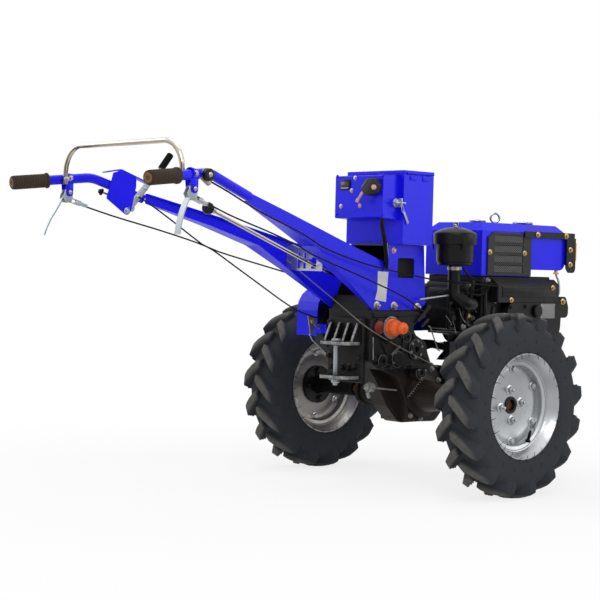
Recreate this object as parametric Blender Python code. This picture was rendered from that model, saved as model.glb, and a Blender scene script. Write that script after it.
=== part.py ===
"""Walking tractor: a two-wheeled farm tractor steered from behind by two long handles.

X runs forward, Y to the machine's left and Z up. Every piece is placed under the empty
"machine", which stands on the ground straight below the wheels' axis.
"""

import math

import bmesh
import bpy
from mathutils import Matrix, Vector

# Fits
GAP = 0.0003
RUNNING_GAP = 0.0008
SHEET = 0.003

# Reach of the machine from the axle
GRIP_END_X = -1.3787
LAMP_FRONT_X = 0.704
AXLE_X = -(GRIP_END_X + LAMP_FRONT_X) / 2

# Wheels
WHEEL_TRACK = 0.905
TYRE_RADIUS = 0.296
TYRE_HALF_WIDTH = 0.070
LUG_HEIGHT = 0.024
LUGS_PER_SIDE = 16
LUG_SWEEP = math.radians(13.0)
LUG_TAPER = 0.20
CARCASS_THICKNESS = 0.013
RIM_FLANGE_RADIUS = 0.170
RIM_SEAT_RADIUS = 0.1525
RIM_WELL_RADIUS = 0.132
RIM_HALF_WIDTH = 0.066
RIM_SHEET = 0.0035
DISC_THICKNESS = 0.006
DISC_OFFSET = -0.001
HUB_FLANGE_RADIUS = 0.068
HUB_FLANGE_THICKNESS = 0.010
HUB_SLEEVE_RADIUS = 0.027
HUB_NOSE = 0.0065
HUB_LENGTH = 0.205
AXLE_RADIUS = 0.0175
AXLE_RECESS = 0.012
AXLE_DEPTH_IN_HOUSING = 0.060
AXLE_HOUSING_END = WHEEL_TRACK / 2 - 0.2525
AXLE_HOUSING_RADIUS = 0.043
AXLE_HOUSING_FLANGE_RADIUS = 0.062
WHEEL_SEGMENTS = 2 * LUGS_PER_SIDE

# Gearbox
CASE_TOP = 0.585
CASE_HALF_WIDTH = 0.100
CASE_REAR_X = -0.285
LOWER_CASE_HALF_WIDTH = 0.066
LOWER_CASE_FRONT_X = 0.105
BELLY_HALF_WIDTH = 0.032
BEARING_CAP_X = -0.028
BEARING_CAP_Z = 0.375
BEARING_CAP_RADIUS = 0.025
SHAFT_SEAT_RAISE = 0.005
RISER_HALF_WIDTH = 0.0865
RISER_HEIGHT = 0.045

# Hitch
HITCH_PIN_X = -0.342
HITCH_PIN_RADIUS = 0.008
HITCH_PIN_LOW = 0.337
HITCH_PIN_HEAD_RADIUS = 0.015
HITCH_HALF_WIDTH = 0.066
HITCH_TIP_HALF_WIDTH = 0.036
HITCH_JAW_THICKNESS = 0.014
UPPER_JAW_Z = 0.469
LOWER_JAW_Z = 0.358

# Handles
BASE_HALF_WIDTH = RISER_HALF_WIDTH + GAP
BASE_SHEET = 0.004
BASE_TOP = 0.8017
ARM_SHEET = 0.0035
ARM_END = (-0.9502, 0.238)
GATE_X = -0.450
TUBE_RADIUS = 0.0145
HANDLE_ROUTE = ((-0.9520, 0.2513, 0.9192), (-1.125, 0.2818, 0.976), (-1.254, 0.3116, 0.9616),
                (-1.370, 0.3315, 0.9485))
HANDLE_BEND = 0.10
GRIP_RADIUS = 0.021
GRIP_LENGTH = 0.116
LEVER_PIVOT_X = -1.198
GRAB_BAR_RADIUS = 0.008
GRAB_BAR_TOP = 1.0635
GRAB_BAR_X = -1.221
GRAB_BAR_BEND = 0.080

# Battery box
BOX_REAR_X = -0.180
BOX_FRONT_X = -0.037
BOX_HALF_WIDTH = 0.131
BOX_FLOOR = BASE_TOP + GAP
BOX_HEIGHT = 0.230
BOX_RIM = BOX_FLOOR + BOX_HEIGHT
LID_HEIGHT = 0.013
LID_LIP = 0.012
LID_HINGE_RADIUS = 0.004
PANEL_REAR_X = -0.256
PANEL_HALF_WIDTH = 0.111
PANEL_HIGH = BOX_RIM - 0.002
PANEL_LOW = PANEL_HIGH - 0.148
SWITCH_Y = -0.055
SWITCH_Z = PANEL_HIGH - 0.045
BATTERY_SIZE = (0.124, 0.200, 0.175)

# Engine and its covers
HOOD_REAR_X = 0.186
HOOD_MIDDLE_Y = -0.029
HOOD_HALF_WIDTH = 0.129
HOOD_LOW = 0.706
HOOD_SHOULDER = 0.861
HOOD_TOP = 0.890
HOOD_CHAMFER = 0.030
GRILLE_REAR_X = 0.213
GRILLE_FRONT_X = 0.449
GRILLE_WINDOW_REAR_X = 0.246
GRILLE_WINDOW_FRONT_X = 0.401
GRILLE_ROWS = 4
GRILLE_PITCH = 0.0345
GRILLE_WINDOW = 0.0255
TANK_FRONT_X = 0.646
TANK_LOW = 0.730
GUARD_FRONT_X = 0.692
GUARD_LOW = 0.843
GUARD_HIGH = 0.865
HEAD_REAR_X = 0.085
HEAD_LOW = 0.504
SUMP_REAR_X = 0.308
HEAD_RIGHT_Y = -0.120
BLOCK_REAR_X = 0.200
BLOCK_FRONT_X = 0.600
BLOCK_RIGHT_Y = -0.152
BLOCK_LEFT_Y = 0.098
ENGINE_BOTTOM = 0.452
CRANK_X = 0.475
CRANK_Z = 0.515
CLUTCH_X = -0.150
CLUTCH_Z = 0.515
FLYWHEEL_RADIUS = 0.105
ENGINE_PULLEY_RADIUS = 0.057
CLUTCH_PULLEY_RADIUS = 0.085
BELT_PLANE_Y = 0.194
BELT_WIDTH = 0.046
BELT_THICKNESS = 0.009

# Frame and stand
RAIL_TOP = ENGINE_BOTTOM - GAP
RAIL_HEIGHT = 0.050
RAIL_HALF_SPACING = BLOCK_LEFT_Y - 0.003
FRAME_REAR_X = LOWER_CASE_FRONT_X + GAP
FRAME_PLATE_LOW = 0.262
RAIL_WIDTH = 0.028
RAIL_FRONT_X = 0.664
STAND_PIVOT_X = 0.600
STAND_PIVOT_Z = 0.372
STAND_FOOT_X = 0.640
STAND_HALF_WIDTH = 0.085
STAND_TUBE_RADIUS = 0.013

CABLE_RADIUS = 0.0025
CABLE_SPACING = 0.045
ROUND = 16
COLOURS = {
    "blue": ((0.020, 0.035, 0.640), 0.30, 0.0),
    "black": ((0.018, 0.018, 0.020), 0.45, 0.0),
    "cast_black": ((0.022, 0.021, 0.020), 0.60, 0.2),
    "tyre": ((0.020, 0.020, 0.021), 0.80, 0.0),
    "silver": ((0.620, 0.630, 0.640), 0.38, 0.6),
    "zinc": ((0.640, 0.630, 0.590), 0.35, 1.0),
    "chrome": ((0.820, 0.820, 0.830), 0.12, 1.0),
    "grip": ((0.050, 0.040, 0.034), 0.80, 0.0),
    "orange": ((0.850, 0.170, 0.030), 0.45, 0.0),
    "amber": ((0.900, 0.300, 0.020), 0.20, 0.0),
}


def clear_scene():
    for old in list(bpy.data.objects):
        bpy.data.objects.remove(old, do_unlink=True)


def material(name):
    """The part's paint, made once and shared by every piece that wears it."""
    found = bpy.data.materials.get(name)
    if found:
        return found
    colour, roughness, metallic = COLOURS[name]
    made = bpy.data.materials.new(name)
    made.use_nodes = True
    surface = made.node_tree.nodes["Principled BSDF"]
    surface.inputs["Base Color"].default_value = (*colour, 1.0)
    surface.inputs["Roughness"].default_value = roughness
    surface.inputs["Metallic"].default_value = metallic
    return made


def empty(name, location, parent=None):
    made = bpy.data.objects.new(name, None)
    made.location = location
    made.parent = parent
    bpy.context.collection.objects.link(made)
    return made


def piece(name, bm, paint, parent, location=(0, 0, 0), turn_z=0.0, smooth=35):
    """A named object from a bmesh, with its faces turned out and its edges shaded."""
    bmesh.ops.recalc_face_normals(bm, faces=bm.faces)
    mesh = bpy.data.meshes.new(name)
    bm.to_mesh(mesh)
    bm.free()
    mesh.shade_smooth()
    mesh.set_sharp_from_angle(angle=math.radians(smooth))
    made = bpy.data.objects.new(name, mesh)
    made.location = location
    made.rotation_euler.z = turn_z
    made.parent = parent
    made.data.materials.append(material(paint))
    bpy.context.collection.objects.link(made)
    return made


def boolean(target, other, operation="UNION"):
    """Fuses another solid to the target, or cuts it away."""
    other.hide_render = True
    other.display_type = "WIRE"
    step = target.modifiers.new(other.name, "BOOLEAN")
    step.operation = operation
    step.solver = "EXACT"
    step.object = other


def box(low, high, bevel=0.0):
    """A block between two corners, with its edges broken."""
    bm = bmesh.new()
    low, high = Vector(low), Vector(high)
    bmesh.ops.create_cube(bm, size=1.0)
    bmesh.ops.scale(bm, vec=high - low, verts=bm.verts)
    bmesh.ops.translate(bm, vec=(high + low) / 2, verts=bm.verts)
    if bevel:
        bmesh.ops.bevel(bm, geom=bm.edges, offset=bevel, segments=1, profile=0.5,
                        affect="EDGES", material=-1)
    return bm


def rounded(corners, steps=3):
    """An outline in the plane whose corners (a, b, radius) are turned into arcs."""
    outline = []
    count = len(corners)
    for index, (a, b, radius) in enumerate(corners):
        here = Vector((a, b))
        if radius <= 0:
            outline.append(here)
            continue
        before = (Vector(corners[index - 1][:2]) - here).normalized()
        after = (Vector(corners[(index + 1) % count][:2]) - here).normalized()
        half = before.angle(after) / 2
        centre = here + (before + after).normalized() * radius / math.sin(half)
        start = here + before * radius / math.tan(half) - centre
        end = here + after * radius / math.tan(half) - centre
        for step in range(steps + 1):
            outline.append(centre + start.slerp(end, step / steps).normalized() * radius)
    return outline


def slab(outline, low, high, axis="Y", bevel=0.0):
    """An outline pushed along an axis: (x, z) along Y, (y, z) along X or (x, y) along Z."""
    bm = bmesh.new()
    places = {"Y": lambda a, b: (a, low, b), "X": lambda a, b: (low, a, b), "Z": lambda a, b: (a, b, low)}
    push = {"Y": (0, high - low, 0), "X": (high - low, 0, 0), "Z": (0, 0, high - low)}
    face = bm.faces.new([bm.verts.new(places[axis](a, b)) for a, b in outline])
    pushed = bmesh.ops.extrude_face_region(bm, geom=[face])
    moved = [item for item in pushed["geom"] if isinstance(item, bmesh.types.BMVert)]
    bmesh.ops.translate(bm, vec=push[axis], verts=moved)
    if bevel:
        rims = [edge for edge in bm.edges if all(len(f.verts) > 4 for f in edge.link_faces)
                or any(len(f.verts) == len(outline) for f in edge.link_faces)]
        bmesh.ops.bevel(bm, geom=rims, offset=bevel, segments=1, profile=0.5,
                        affect="EDGES", material=-1)
    return bm


def turned(profile, segments=ROUND, axis="Y"):
    """A closed profile (radius, along) turned round an axis through the origin."""
    bm = bmesh.new()
    ring = [bm.verts.new((radius, along, 0)) for radius, along in profile]
    edges = [bm.edges.new((ring[i - 1], ring[i])) for i in range(len(ring))]
    bmesh.ops.spin(bm, geom=ring + edges, cent=(0, 0, 0), axis=(0, 1, 0), dvec=(0, 0, 0),
                   angle=2 * math.pi, steps=segments, use_merge=True)
    bmesh.ops.remove_doubles(bm, verts=bm.verts, dist=0.00001)
    loose = [edge for edge in bm.edges if not edge.link_faces]
    bmesh.ops.delete(bm, geom=loose, context="EDGES")
    turns = {"Y": Matrix(), "Z": Matrix.Rotation(math.pi / 2, 3, "X"),
             "X": Matrix.Rotation(-math.pi / 2, 3, "Z")}
    bmesh.ops.rotate(bm, cent=(0, 0, 0), matrix=turns[axis].to_3x3(), verts=bm.verts)
    return bm


def disc_between(radius, low, high, segments=ROUND, axis="Y", chamfer=0.0):
    """A round bar along an axis, its end edges chamfered."""
    rim = radius - chamfer
    return turned([(0, low), (rim, low), (radius, low + chamfer), (radius, high - chamfer),
                   (rim, high), (0, high)] if chamfer else
                  [(0, low), (radius, low), (radius, high), (0, high)], segments, axis)


def moved(bm, by):
    bmesh.ops.translate(bm, vec=by, verts=bm.verts)
    return bm


def bar(start, end, radius, segments=ROUND):
    """A round bar between two points."""
    start, end = Vector(start), Vector(end)
    bm = bmesh.new()
    bmesh.ops.create_cone(bm, cap_ends=True, cap_tris=False, segments=segments,
                          radius1=radius, radius2=radius, depth=(end - start).length)
    turn = (end - start).to_track_quat("Z", "Y").to_matrix()
    bmesh.ops.rotate(bm, cent=(0, 0, 0), matrix=turn, verts=bm.verts)
    return moved(bm, (start + end) / 2)


def bent_route(corners, bend, steps=5):
    """A route in space whose inner corners are turned into arcs."""
    points = [Vector(p) for p in corners]
    route = [points[0]]
    for before, here, after in zip(points, points[1:], points[2:]):
        back, on = (before - here).normalized(), (after - here).normalized()
        half = back.angle(on) / 2
        reach = bend / math.tan(half)
        centre = here + (back + on).normalized() * bend / math.sin(half)
        start, end = here + back * reach - centre, here + on * reach - centre
        route += [centre + start.normalized().slerp(end.normalized(), step / steps) * bend
                  for step in range(steps + 1)]
    return route + [points[-1]]


def smooth_route(points, spacing):
    """Points at even spacing along a smooth curve through the route's own points."""
    points = [Vector(p) for p in points]
    ends = [points[0] * 2 - points[1]] + points + [points[-1] * 2 - points[-2]]
    fine = []
    for p0, p1, p2, p3 in zip(ends, ends[1:], ends[2:], ends[3:]):
        for step in range(24):
            t = step / 24
            fine.append(0.5 * ((2 * p1) + (p2 - p0) * t + (2 * p0 - 5 * p1 + 4 * p2 - p3) * t ** 2
                               + (3 * p1 - p0 - 3 * p2 + p3) * t ** 3))
    fine.append(points[-1])
    length = sum((b - a).length for a, b in zip(fine, fine[1:]))
    count = max(2, round(length / spacing))
    route, walked, wanted = [fine[0]], 0.0, 1
    for a, b in zip(fine, fine[1:]):
        step = (b - a).length
        while wanted < count and walked + step >= wanted * length / count:
            route.append(a.lerp(b, (wanted * length / count - walked) / step))
            wanted += 1
        walked += step
    return route + [fine[-1]]


def tube(name, route, radius, paint, parent, resolution=3):
    """A round tube or cable along a route, closed at its ends."""
    curve = bpy.data.curves.new(name, "CURVE")
    curve.dimensions = "3D"
    curve.bevel_depth = radius
    curve.bevel_resolution = resolution
    curve.use_fill_caps = True
    spline = curve.splines.new("POLY")
    spline.points.add(len(route) - 1)
    for point, place in zip(spline.points, route):
        point.co = (*place, 1.0)
        point.radius = 1.0
    spline.use_smooth = True
    made = bpy.data.objects.new(name, curve)
    made.parent = parent
    made.data.materials.append(material(paint))
    bpy.context.collection.objects.link(made)
    return made


# Wheels

def tyre_section():
    """Columns: radius, offset from the middle. Outer side from bead to bead, then the inside."""
    w = TYRE_HALF_WIDTH
    root = TYRE_RADIUS - LUG_HEIGHT
    bead = RIM_SEAT_RADIUS + GAP * 3
    outer_half = ((bead, RIM_HALF_WIDTH - RIM_SHEET - GAP), (RIM_FLANGE_RADIUS, RIM_HALF_WIDTH - RIM_SHEET - GAP),
                  (RIM_FLANGE_RADIUS + 0.020, w - 0.002), (root - 0.036, w), (root - 0.014, w - 0.009),
                  (root - 0.004, w * 0.5))
    inner_half = ((bead, 0.046), (RIM_FLANGE_RADIUS, 0.050), (root - 0.040, w - CARCASS_THICKNESS),
                  (root - CARCASS_THICKNESS - 0.002, w * 0.45))
    outer = [(r, y) for r, y in outer_half] + [(root, 0.0)] + [(r, -y) for r, y in reversed(outer_half)]
    inner = [(r, -y) for r, y in inner_half] + [(r, y) for r, y in reversed(inner_half)]
    return outer + inner


def lug_top(radius, offset):
    """Where a point of the carcass goes when its lug is raised over it."""
    w = TYRE_HALF_WIDTH
    root = TYRE_RADIUS - LUG_HEIGHT
    if abs(offset) < 0.001:
        return TYRE_RADIUS, offset
    if abs(offset) < w * 0.6:
        return TYRE_RADIUS - 0.001, offset
    if radius > root - 0.02:
        return TYRE_RADIUS - 0.007, math.copysign(w - 0.003, offset)
    return radius + 0.004, math.copysign(w + 0.0028, offset)


def tyre(side, parent):
    """A farm tyre: an open carcass with two rows of slanting lugs raised from it."""
    section = tyre_section()
    bm = turned(section, WHEEL_SEGMENTS)
    middles = [((a[0] + b[0]) / 2, (a[1] + b[1]) / 2) for a, b in zip(section, section[1:])]
    tread_edges = range(3, 9)
    column_angle = 2 * math.pi / WHEEL_SEGMENTS
    strips = {}
    for face in bm.faces:
        centre = face.calc_center_median()
        flat = math.cos(column_angle / 2)
        radius, offset = math.hypot(centre.x, centre.z) / flat, centre.y
        nearest = min(range(len(middles)), key=lambda i: math.hypot(middles[i][0] - radius, middles[i][1] - offset))
        if nearest not in tread_edges:
            continue
        column = round(math.atan2(centre.z, centre.x) / column_angle - 0.5) % WHEEL_SEGMENTS
        if column % 2 == (0 if offset > 0 else 1):
            strips.setdefault((offset > 0, column), []).append(face)
    for strip in strips.values():
        raised = bmesh.ops.extrude_face_region(bm, geom=strip)
        tops = [item for item in raised["geom"] if isinstance(item, bmesh.types.BMVert)]
        angles = [math.atan2(v.co.z, v.co.x) for v in tops]
        middle = math.atan2(sum(math.sin(a) for a in angles), sum(math.cos(a) for a in angles))
        for vert, angle in zip(tops, angles):
            lean = (angle - middle + math.pi) % (2 * math.pi) - math.pi
            radius, offset = lug_top(math.hypot(vert.co.x, vert.co.z), vert.co.y)
            angle = middle + lean * (1 - 2 * LUG_TAPER)
            vert.co = (radius * math.cos(angle), offset, radius * math.sin(angle))
        bmesh.ops.delete(bm, geom=[face for face in strip if face.is_valid], context="FACES_ONLY")
    for vert in bm.verts:
        sweep = LUG_SWEEP * min(abs(vert.co.y), TYRE_HALF_WIDTH) / TYRE_HALF_WIDTH
        turn = Matrix.Rotation(-sweep, 3, "Y")
        vert.co = turn @ vert.co
    return piece("tyre_" + side, bm, "tyre", parent, smooth=30)


def rim(side, turn, parent):
    """A pressed rim with a dropped centre, and the disc that is welded into it."""
    w, t = RIM_HALF_WIDTH, RIM_SHEET
    seat, well, flange = RIM_SEAT_RADIUS, RIM_WELL_RADIUS, RIM_FLANGE_RADIUS
    face, back = DISC_OFFSET + DISC_THICKNESS / 2, DISC_OFFSET - DISC_THICKNESS / 2
    hole = HUB_SLEEVE_RADIUS + GAP * 2
    profile = [(flange, w), (flange, w - t), (seat, w - t), (seat, 0.036), (well, 0.026), (well, -0.026),
               (seat, -0.036), (seat, t - w), (flange, t - w), (flange, -w), (seat - t, -w), (seat - t, -0.038),
               (well - t, -0.028), (well - t, back), (hole, back), (hole, face), (HUB_FLANGE_RADIUS + 0.008, face),
               (HUB_FLANGE_RADIUS + 0.020, face + 0.006), (well - 0.014, face + 0.006), (well - t, face + 0.001),
               (well - t, 0.028), (seat - t, 0.038), (seat - t, w)]
    bm = turned(profile, WHEEL_SEGMENTS)
    return piece("rim_" + side, bm, "silver", parent, turn_z=turn)


def hub(side, turn, parent):
    """A sleeve that slides on the axle, with the flange that the disc is bolted to."""
    bore = AXLE_RADIUS + GAP * 2
    back = DISC_OFFSET - DISC_THICKNESS / 2 - GAP
    tail = back - HUB_LENGTH
    profile = [(bore, HUB_NOSE), (HUB_SLEEVE_RADIUS, HUB_NOSE), (HUB_SLEEVE_RADIUS, back), (HUB_FLANGE_RADIUS, back),
               (HUB_FLANGE_RADIUS, back - HUB_FLANGE_THICKNESS), (HUB_SLEEVE_RADIUS + 0.006, back - HUB_FLANGE_THICKNESS),
               (HUB_SLEEVE_RADIUS, back - HUB_FLANGE_THICKNESS - 0.030), (HUB_SLEEVE_RADIUS, tail), (bore, tail)]
    return piece("wheel_hub_" + side, turned(profile, 20), "black", parent, turn_z=turn)


def axle_shaft(side, turn, parent):
    """The half shaft that carries a wheel and turns with it."""
    inner = AXLE_HOUSING_END - AXLE_DEPTH_IN_HOUSING - WHEEL_TRACK / 2
    bm = disc_between(AXLE_RADIUS, inner, HUB_NOSE - AXLE_RECESS, ROUND, "Y", 0.002)
    return piece("axle_shaft_" + side, bm, "zinc", parent, turn_z=turn)


def wheels(machine):
    for side, sign in (("left", 1), ("right", -1)):
        turn = 0.0 if sign > 0 else math.pi
        axis = empty("wheel_axis_" + side, (0, sign * WHEEL_TRACK / 2, TYRE_RADIUS), machine)
        tyre(side, axis)
        rim(side, turn, axis)
        hub(side, turn, axis)
        axle_shaft(side, turn, axis)


# Gearbox and hitch

def gearbox_case(machine):
    """The cast case: a wide upper box, the final drive below it with its belly, and the axle housings."""
    upper = rounded([(CASE_REAR_X, CASE_TOP, 0), (CASE_REAR_X, 0.42, 0.02), (-0.243, 0.392, 0), (0.006, 0.388, 0),
                     (0.008, 0.414, 0), (-0.006, 0.442, 0), (-0.017, 0.479, 0.01), (-0.066, 0.502, 0.01),
                     (-0.082, 0.528, 0.01), (-0.062, 0.548, 0), (-0.020, 0.563, 0), (-0.020, CASE_TOP, 0)])
    case = piece("gearbox_case", slab(upper, -CASE_HALF_WIDTH, CASE_HALF_WIDTH, "Y", 0.004), "cast_black", machine)
    w = LOWER_CASE_HALF_WIDTH
    drive = rounded([(-0.262, 0.47, 0), (-0.262, 0.43, 0), (-0.208, 0.391, 0), (-0.118, 0.362, 0.05), (-0.078, 0.292, 0.08),
                     (-0.058, 0.209, 0), (LOWER_CASE_FRONT_X - 0.03, 0.205, 0.03), (LOWER_CASE_FRONT_X, 0.235, 0.01),
                     (LOWER_CASE_FRONT_X, 0.345, 0.01), (0.058, 0.405, 0.015), (0.010, 0.412, 0), (-0.03, 0.46, 0)], 2)
    boolean(case, piece("case_drive", slab(drive, -w, w, "Y", 0.003), "cast_black", machine))
    belly = rounded([(-0.262, 0.46, 0), (-0.222, 0.395, 0.02), (-0.182, 0.345, 0.02), (-0.130, 0.262, 0.03),
                     (-0.072, 0.204, 0.04), (0.02, 0.203, 0), (0.02, 0.43, 0)], 2)
    boolean(case, piece("case_belly", slab(belly, -BELLY_HALF_WIDTH, BELLY_HALF_WIDTH, "Y"), "cast_black", machine))
    riser = piece("case_riser", box((-0.280, -RISER_HALF_WIDTH, CASE_TOP - 0.01),
                                    (-0.052, RISER_HALF_WIDTH, CASE_TOP + RISER_HEIGHT), 0.003), "cast_black", machine)
    boolean(case, riser)
    for sign in (1, -1):
        side = "left" if sign > 0 else "right"
        boolean(case, axle_housing(sign, machine))
        cap = turned([(0, w - 0.01), (0.031, w - 0.01), (0.031, w + 0.006), (BEARING_CAP_RADIUS, w + 0.009),
                      (BEARING_CAP_RADIUS, w + 0.018), (BEARING_CAP_RADIUS - 0.004, w + 0.021), (0, w + 0.021)], 20)
        boolean(case, piece("bearing_cap_" + side, cap, "cast_black", machine, (BEARING_CAP_X, 0, BEARING_CAP_Z),
                            0.0 if sign > 0 else math.pi))
    seat = rounded([(-0.262, 0.560, 0.012), (-0.262, 0.500, 0.03), (-0.150, 0.476, 0.035), (-0.122, 0.560, 0.02)], 3)
    boolean(case, piece("shaft_seat", slab(seat, -CASE_HALF_WIDTH - SHAFT_SEAT_RAISE, -CASE_HALF_WIDTH + 0.004, "Y"),
                        "cast_black", machine))
    return case


def axle_housing(sign, machine):
    """A bored trumpet on the side of the case that the half shaft runs in."""
    inner = LOWER_CASE_HALF_WIDTH - 0.01
    end = AXLE_HOUSING_END
    bore = AXLE_RADIUS + RUNNING_GAP
    depth = end - AXLE_DEPTH_IN_HOUSING - 0.004
    r, f = AXLE_HOUSING_RADIUS, AXLE_HOUSING_FLANGE_RADIUS
    profile = [(0, inner), (f + 0.012, inner), (f + 0.012, inner + 0.022), (r + 0.012, inner + 0.028), (r, end - 0.030),
               (r, end - 0.014), (r + 0.010, end - 0.014), (r + 0.010, end), (bore, end), (bore, depth), (0, depth)]
    return piece("housing_" + ("left" if sign > 0 else "right"), turned(profile, 24), "cast_black", machine,
                 (0, 0, TYRE_RADIUS), 0.0 if sign > 0 else math.pi)


def hitch(machine):
    """The rear bracket: a back plate, two jaws and the four ribs between plate and upper jaw."""
    front = CASE_REAR_X - GAP
    back = front - 0.016
    jaw_tip = HITCH_PIN_X - 0.036
    bracket = piece("hitch_bracket", box((back, -0.082, LOWER_JAW_Z - 0.010), (front, 0.082, 0.560), 0.003),
                    "cast_black", machine)
    hole = piece("hitch_pin_hole", disc_between(HITCH_PIN_RADIUS + GAP * 2, 0.30, 0.60, ROUND, "Z"),
                 "cast_black", machine, (HITCH_PIN_X, 0, 0))
    for name, low in (("upper", UPPER_JAW_Z), ("lower", LOWER_JAW_Z)):
        wide, narrow, shoulder = HITCH_HALF_WIDTH, HITCH_TIP_HALF_WIDTH, HITCH_PIN_X - 0.006
        outline = rounded([(back + 0.008, -wide, 0), (back + 0.008, wide, 0), (shoulder, wide, 0.012),
                           (jaw_tip, narrow, 0.012), (jaw_tip + 0.008, 0.0, 0), (jaw_tip, -narrow, 0.012),
                           (shoulder, -wide, 0.012)], 3)
        jaw = piece("hitch_jaw_" + name, slab(outline, low, low + HITCH_JAW_THICKNESS, "Z"), "cast_black", machine)
        boolean(bracket, jaw)
    for index in range(4):
        y = HITCH_HALF_WIDTH - 0.004 - index * (2 * HITCH_HALF_WIDTH - 0.008) / 3
        outline = [(back + 0.004, 0.540), (back - 0.006, 0.540), (back - 0.034, UPPER_JAW_Z + 0.008),
                   (back + 0.004, UPPER_JAW_Z + 0.008)]
        rib = piece("hitch_rib_%d" % (index + 1), slab(outline, y - 0.004, y + 0.004, "Y"), "cast_black", machine)
        boolean(bracket, rib)
    boolean(bracket, hole, "DIFFERENCE")
    seat = UPPER_JAW_Z + HITCH_JAW_THICKNESS + GAP
    pin = turned([(0, HITCH_PIN_LOW), (HITCH_PIN_RADIUS - 0.001, HITCH_PIN_LOW), (HITCH_PIN_RADIUS, HITCH_PIN_LOW + 0.002),
                  (HITCH_PIN_RADIUS, seat), (HITCH_PIN_HEAD_RADIUS, seat), (HITCH_PIN_HEAD_RADIUS, seat + 0.005),
                  (0, seat + 0.006)], ROUND, "Z")
    piece("hitch_pin", pin, "zinc", machine, (HITCH_PIN_X, 0, 0))


def shaft_cap(machine):
    """The soft orange cap over the power take-off shaft, with a full base and a smaller nose."""
    base, neck, nose = 0.026, 0.017, 0.020
    start = -CASE_HALF_WIDTH - SHAFT_SEAT_RAISE - GAP
    profile = [(0, start), (0.030, start), (0.030, start - 0.006), (base - 0.002, start - 0.008),
               (base, start - 0.018), (base - 0.004, start - 0.032), (neck, start - 0.042), (nose, start - 0.054),
               (nose - 0.004, start - 0.066), (0.008, start - 0.071), (0, start - 0.072)]
    piece("shaft_cap", turned(profile, 20), "orange", machine, (-0.196, 0, 0.529))


# Handles

def handle_base(machine):
    """Two side plates tied by a front plate, standing on the gearbox and carrying the box."""
    inner = BASE_HALF_WIDTH
    outline = rounded([(-0.2762, 0.5855, 0), (-0.050, 0.5855, 0), (-0.018, 0.605, 0.01), (-0.032, BASE_TOP, 0),
                       (-0.196, BASE_TOP, 0), (-0.2122, 0.743, 0)])
    window = rounded([(-0.157, 0.692, 0.008), (-0.077, 0.692, 0.008), (-0.077, 0.758, 0.008), (-0.157, 0.758, 0.008)])
    base = piece("handle_base", slab(outline, -inner - BASE_SHEET, inner + BASE_SHEET, "Y"), "blue", machine)
    hollow = piece("base_hollow", box((-0.40, -inner, 0.50), (-0.040, inner, BASE_TOP - BASE_SHEET)), "blue", machine)
    boolean(base, hollow, "DIFFERENCE")
    windows = piece("base_windows", slab(window, -0.2, 0.2, "Y"), "blue", machine)
    boolean(base, windows, "DIFFERENCE")
    toe = piece("base_toe", box((-0.060, -inner, 0.50), (0.05, inner, CASE_TOP + 0.012)), "blue", machine)
    boolean(base, toe, "DIFFERENCE")
    return base


def arm_inner_y(x):
    """The inner face of the arms, which splay from the base plates out to the tubes."""
    start_x, start_y = -0.2445, BASE_HALF_WIDTH
    end_x, end_y = ARM_END
    return start_y + (end_y - start_y) * (x - start_x) / (end_x - start_x)


def handle_arm(side, sign, machine):
    """A tapering pressed channel, lofted from the base plate out to the handle tube."""
    t = ARM_SHEET
    end_x = ARM_END[0]
    # Columns: x and z of the lower edge, x and z of the upper edge, inward reach of the lower and the upper flange
    stations = ((-0.2765, 0.5875, -0.2125, 0.743, 0.001, 0.001), (-0.470, 0.710, -0.430, 0.799, 0.040, 0.012),
                (-0.600, 0.785, -0.580, 0.839, 0.064, 0.014), (-0.760, 0.843, -0.750, 0.884, 0.045, 0.014),
                (end_x, 0.904, end_x, 0.935, 0.010, 0.010))
    bm = bmesh.new()
    rings = []
    for low_x, low_z, high_x, high_z, low_reach, high_reach in stations:
        low, high = Vector((low_x, low_z)), Vector((high_x, high_z))
        up = (high - low).normalized() * t
        ring = []
        for place, offset in ((low, t), (low, -low_reach), (low + up, -low_reach), (low + up, 0), (high - up, 0),
                              (high - up, -high_reach), (high, -high_reach), (high, t)):
            ring.append(bm.verts.new((place.x, sign * (arm_inner_y(place.x) + offset), place.y)))
        rings.append(ring)
    for ring, following in zip(rings, rings[1:]):
        for i in range(8):
            bm.faces.new((ring[i - 1], ring[i], following[i], following[i - 1]))
    bm.faces.new(rings[0])
    bm.faces.new(rings[-1])
    piece("handle_arm_" + side, bm, "blue", machine, smooth=20)


def mirrored(points, sign):
    return [(x, sign * y, z) for x, y, z in points]


def handle_tube(side, sign, machine):
    route = bent_route(mirrored(HANDLE_ROUTE, sign), HANDLE_BEND)
    tube("handle_tube_" + side, route, TUBE_RADIUS, "blue", machine)


def grip(side, sign, machine):
    """A ribbed rubber sleeve pushed over the end of the handle tube."""
    before, end = (Vector(p) for p in mirrored(HANDLE_ROUTE, sign)[-2:])
    along = (end - before).normalized()
    bore, depth = TUBE_RADIUS + 0.0009, GRIP_LENGTH - 0.006
    ribs = 5
    profile = [(bore, 0.0), (GRIP_RADIUS + 0.002, 0.0), (GRIP_RADIUS + 0.002, 0.006), (GRIP_RADIUS - 0.002, 0.009)]
    for index in range(ribs):
        at = 0.014 + index * 0.018
        profile += [(GRIP_RADIUS, at), (GRIP_RADIUS, at + 0.010), (GRIP_RADIUS - 0.002, at + 0.014)]
    profile += [(GRIP_RADIUS - 0.001, GRIP_LENGTH - 0.005), (GRIP_RADIUS - 0.006, GRIP_LENGTH), (0, GRIP_LENGTH),
                (0, depth), (bore, depth)]
    bm = turned(profile, 12)
    place = end + along * 0.0004 - along * depth
    bmesh.ops.rotate(bm, cent=(0, 0, 0), matrix=Vector((0, 1, 0)).rotation_difference(along).to_matrix(), verts=bm.verts)
    piece("grip_" + side, moved(bm, place), "grip", machine)


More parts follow.
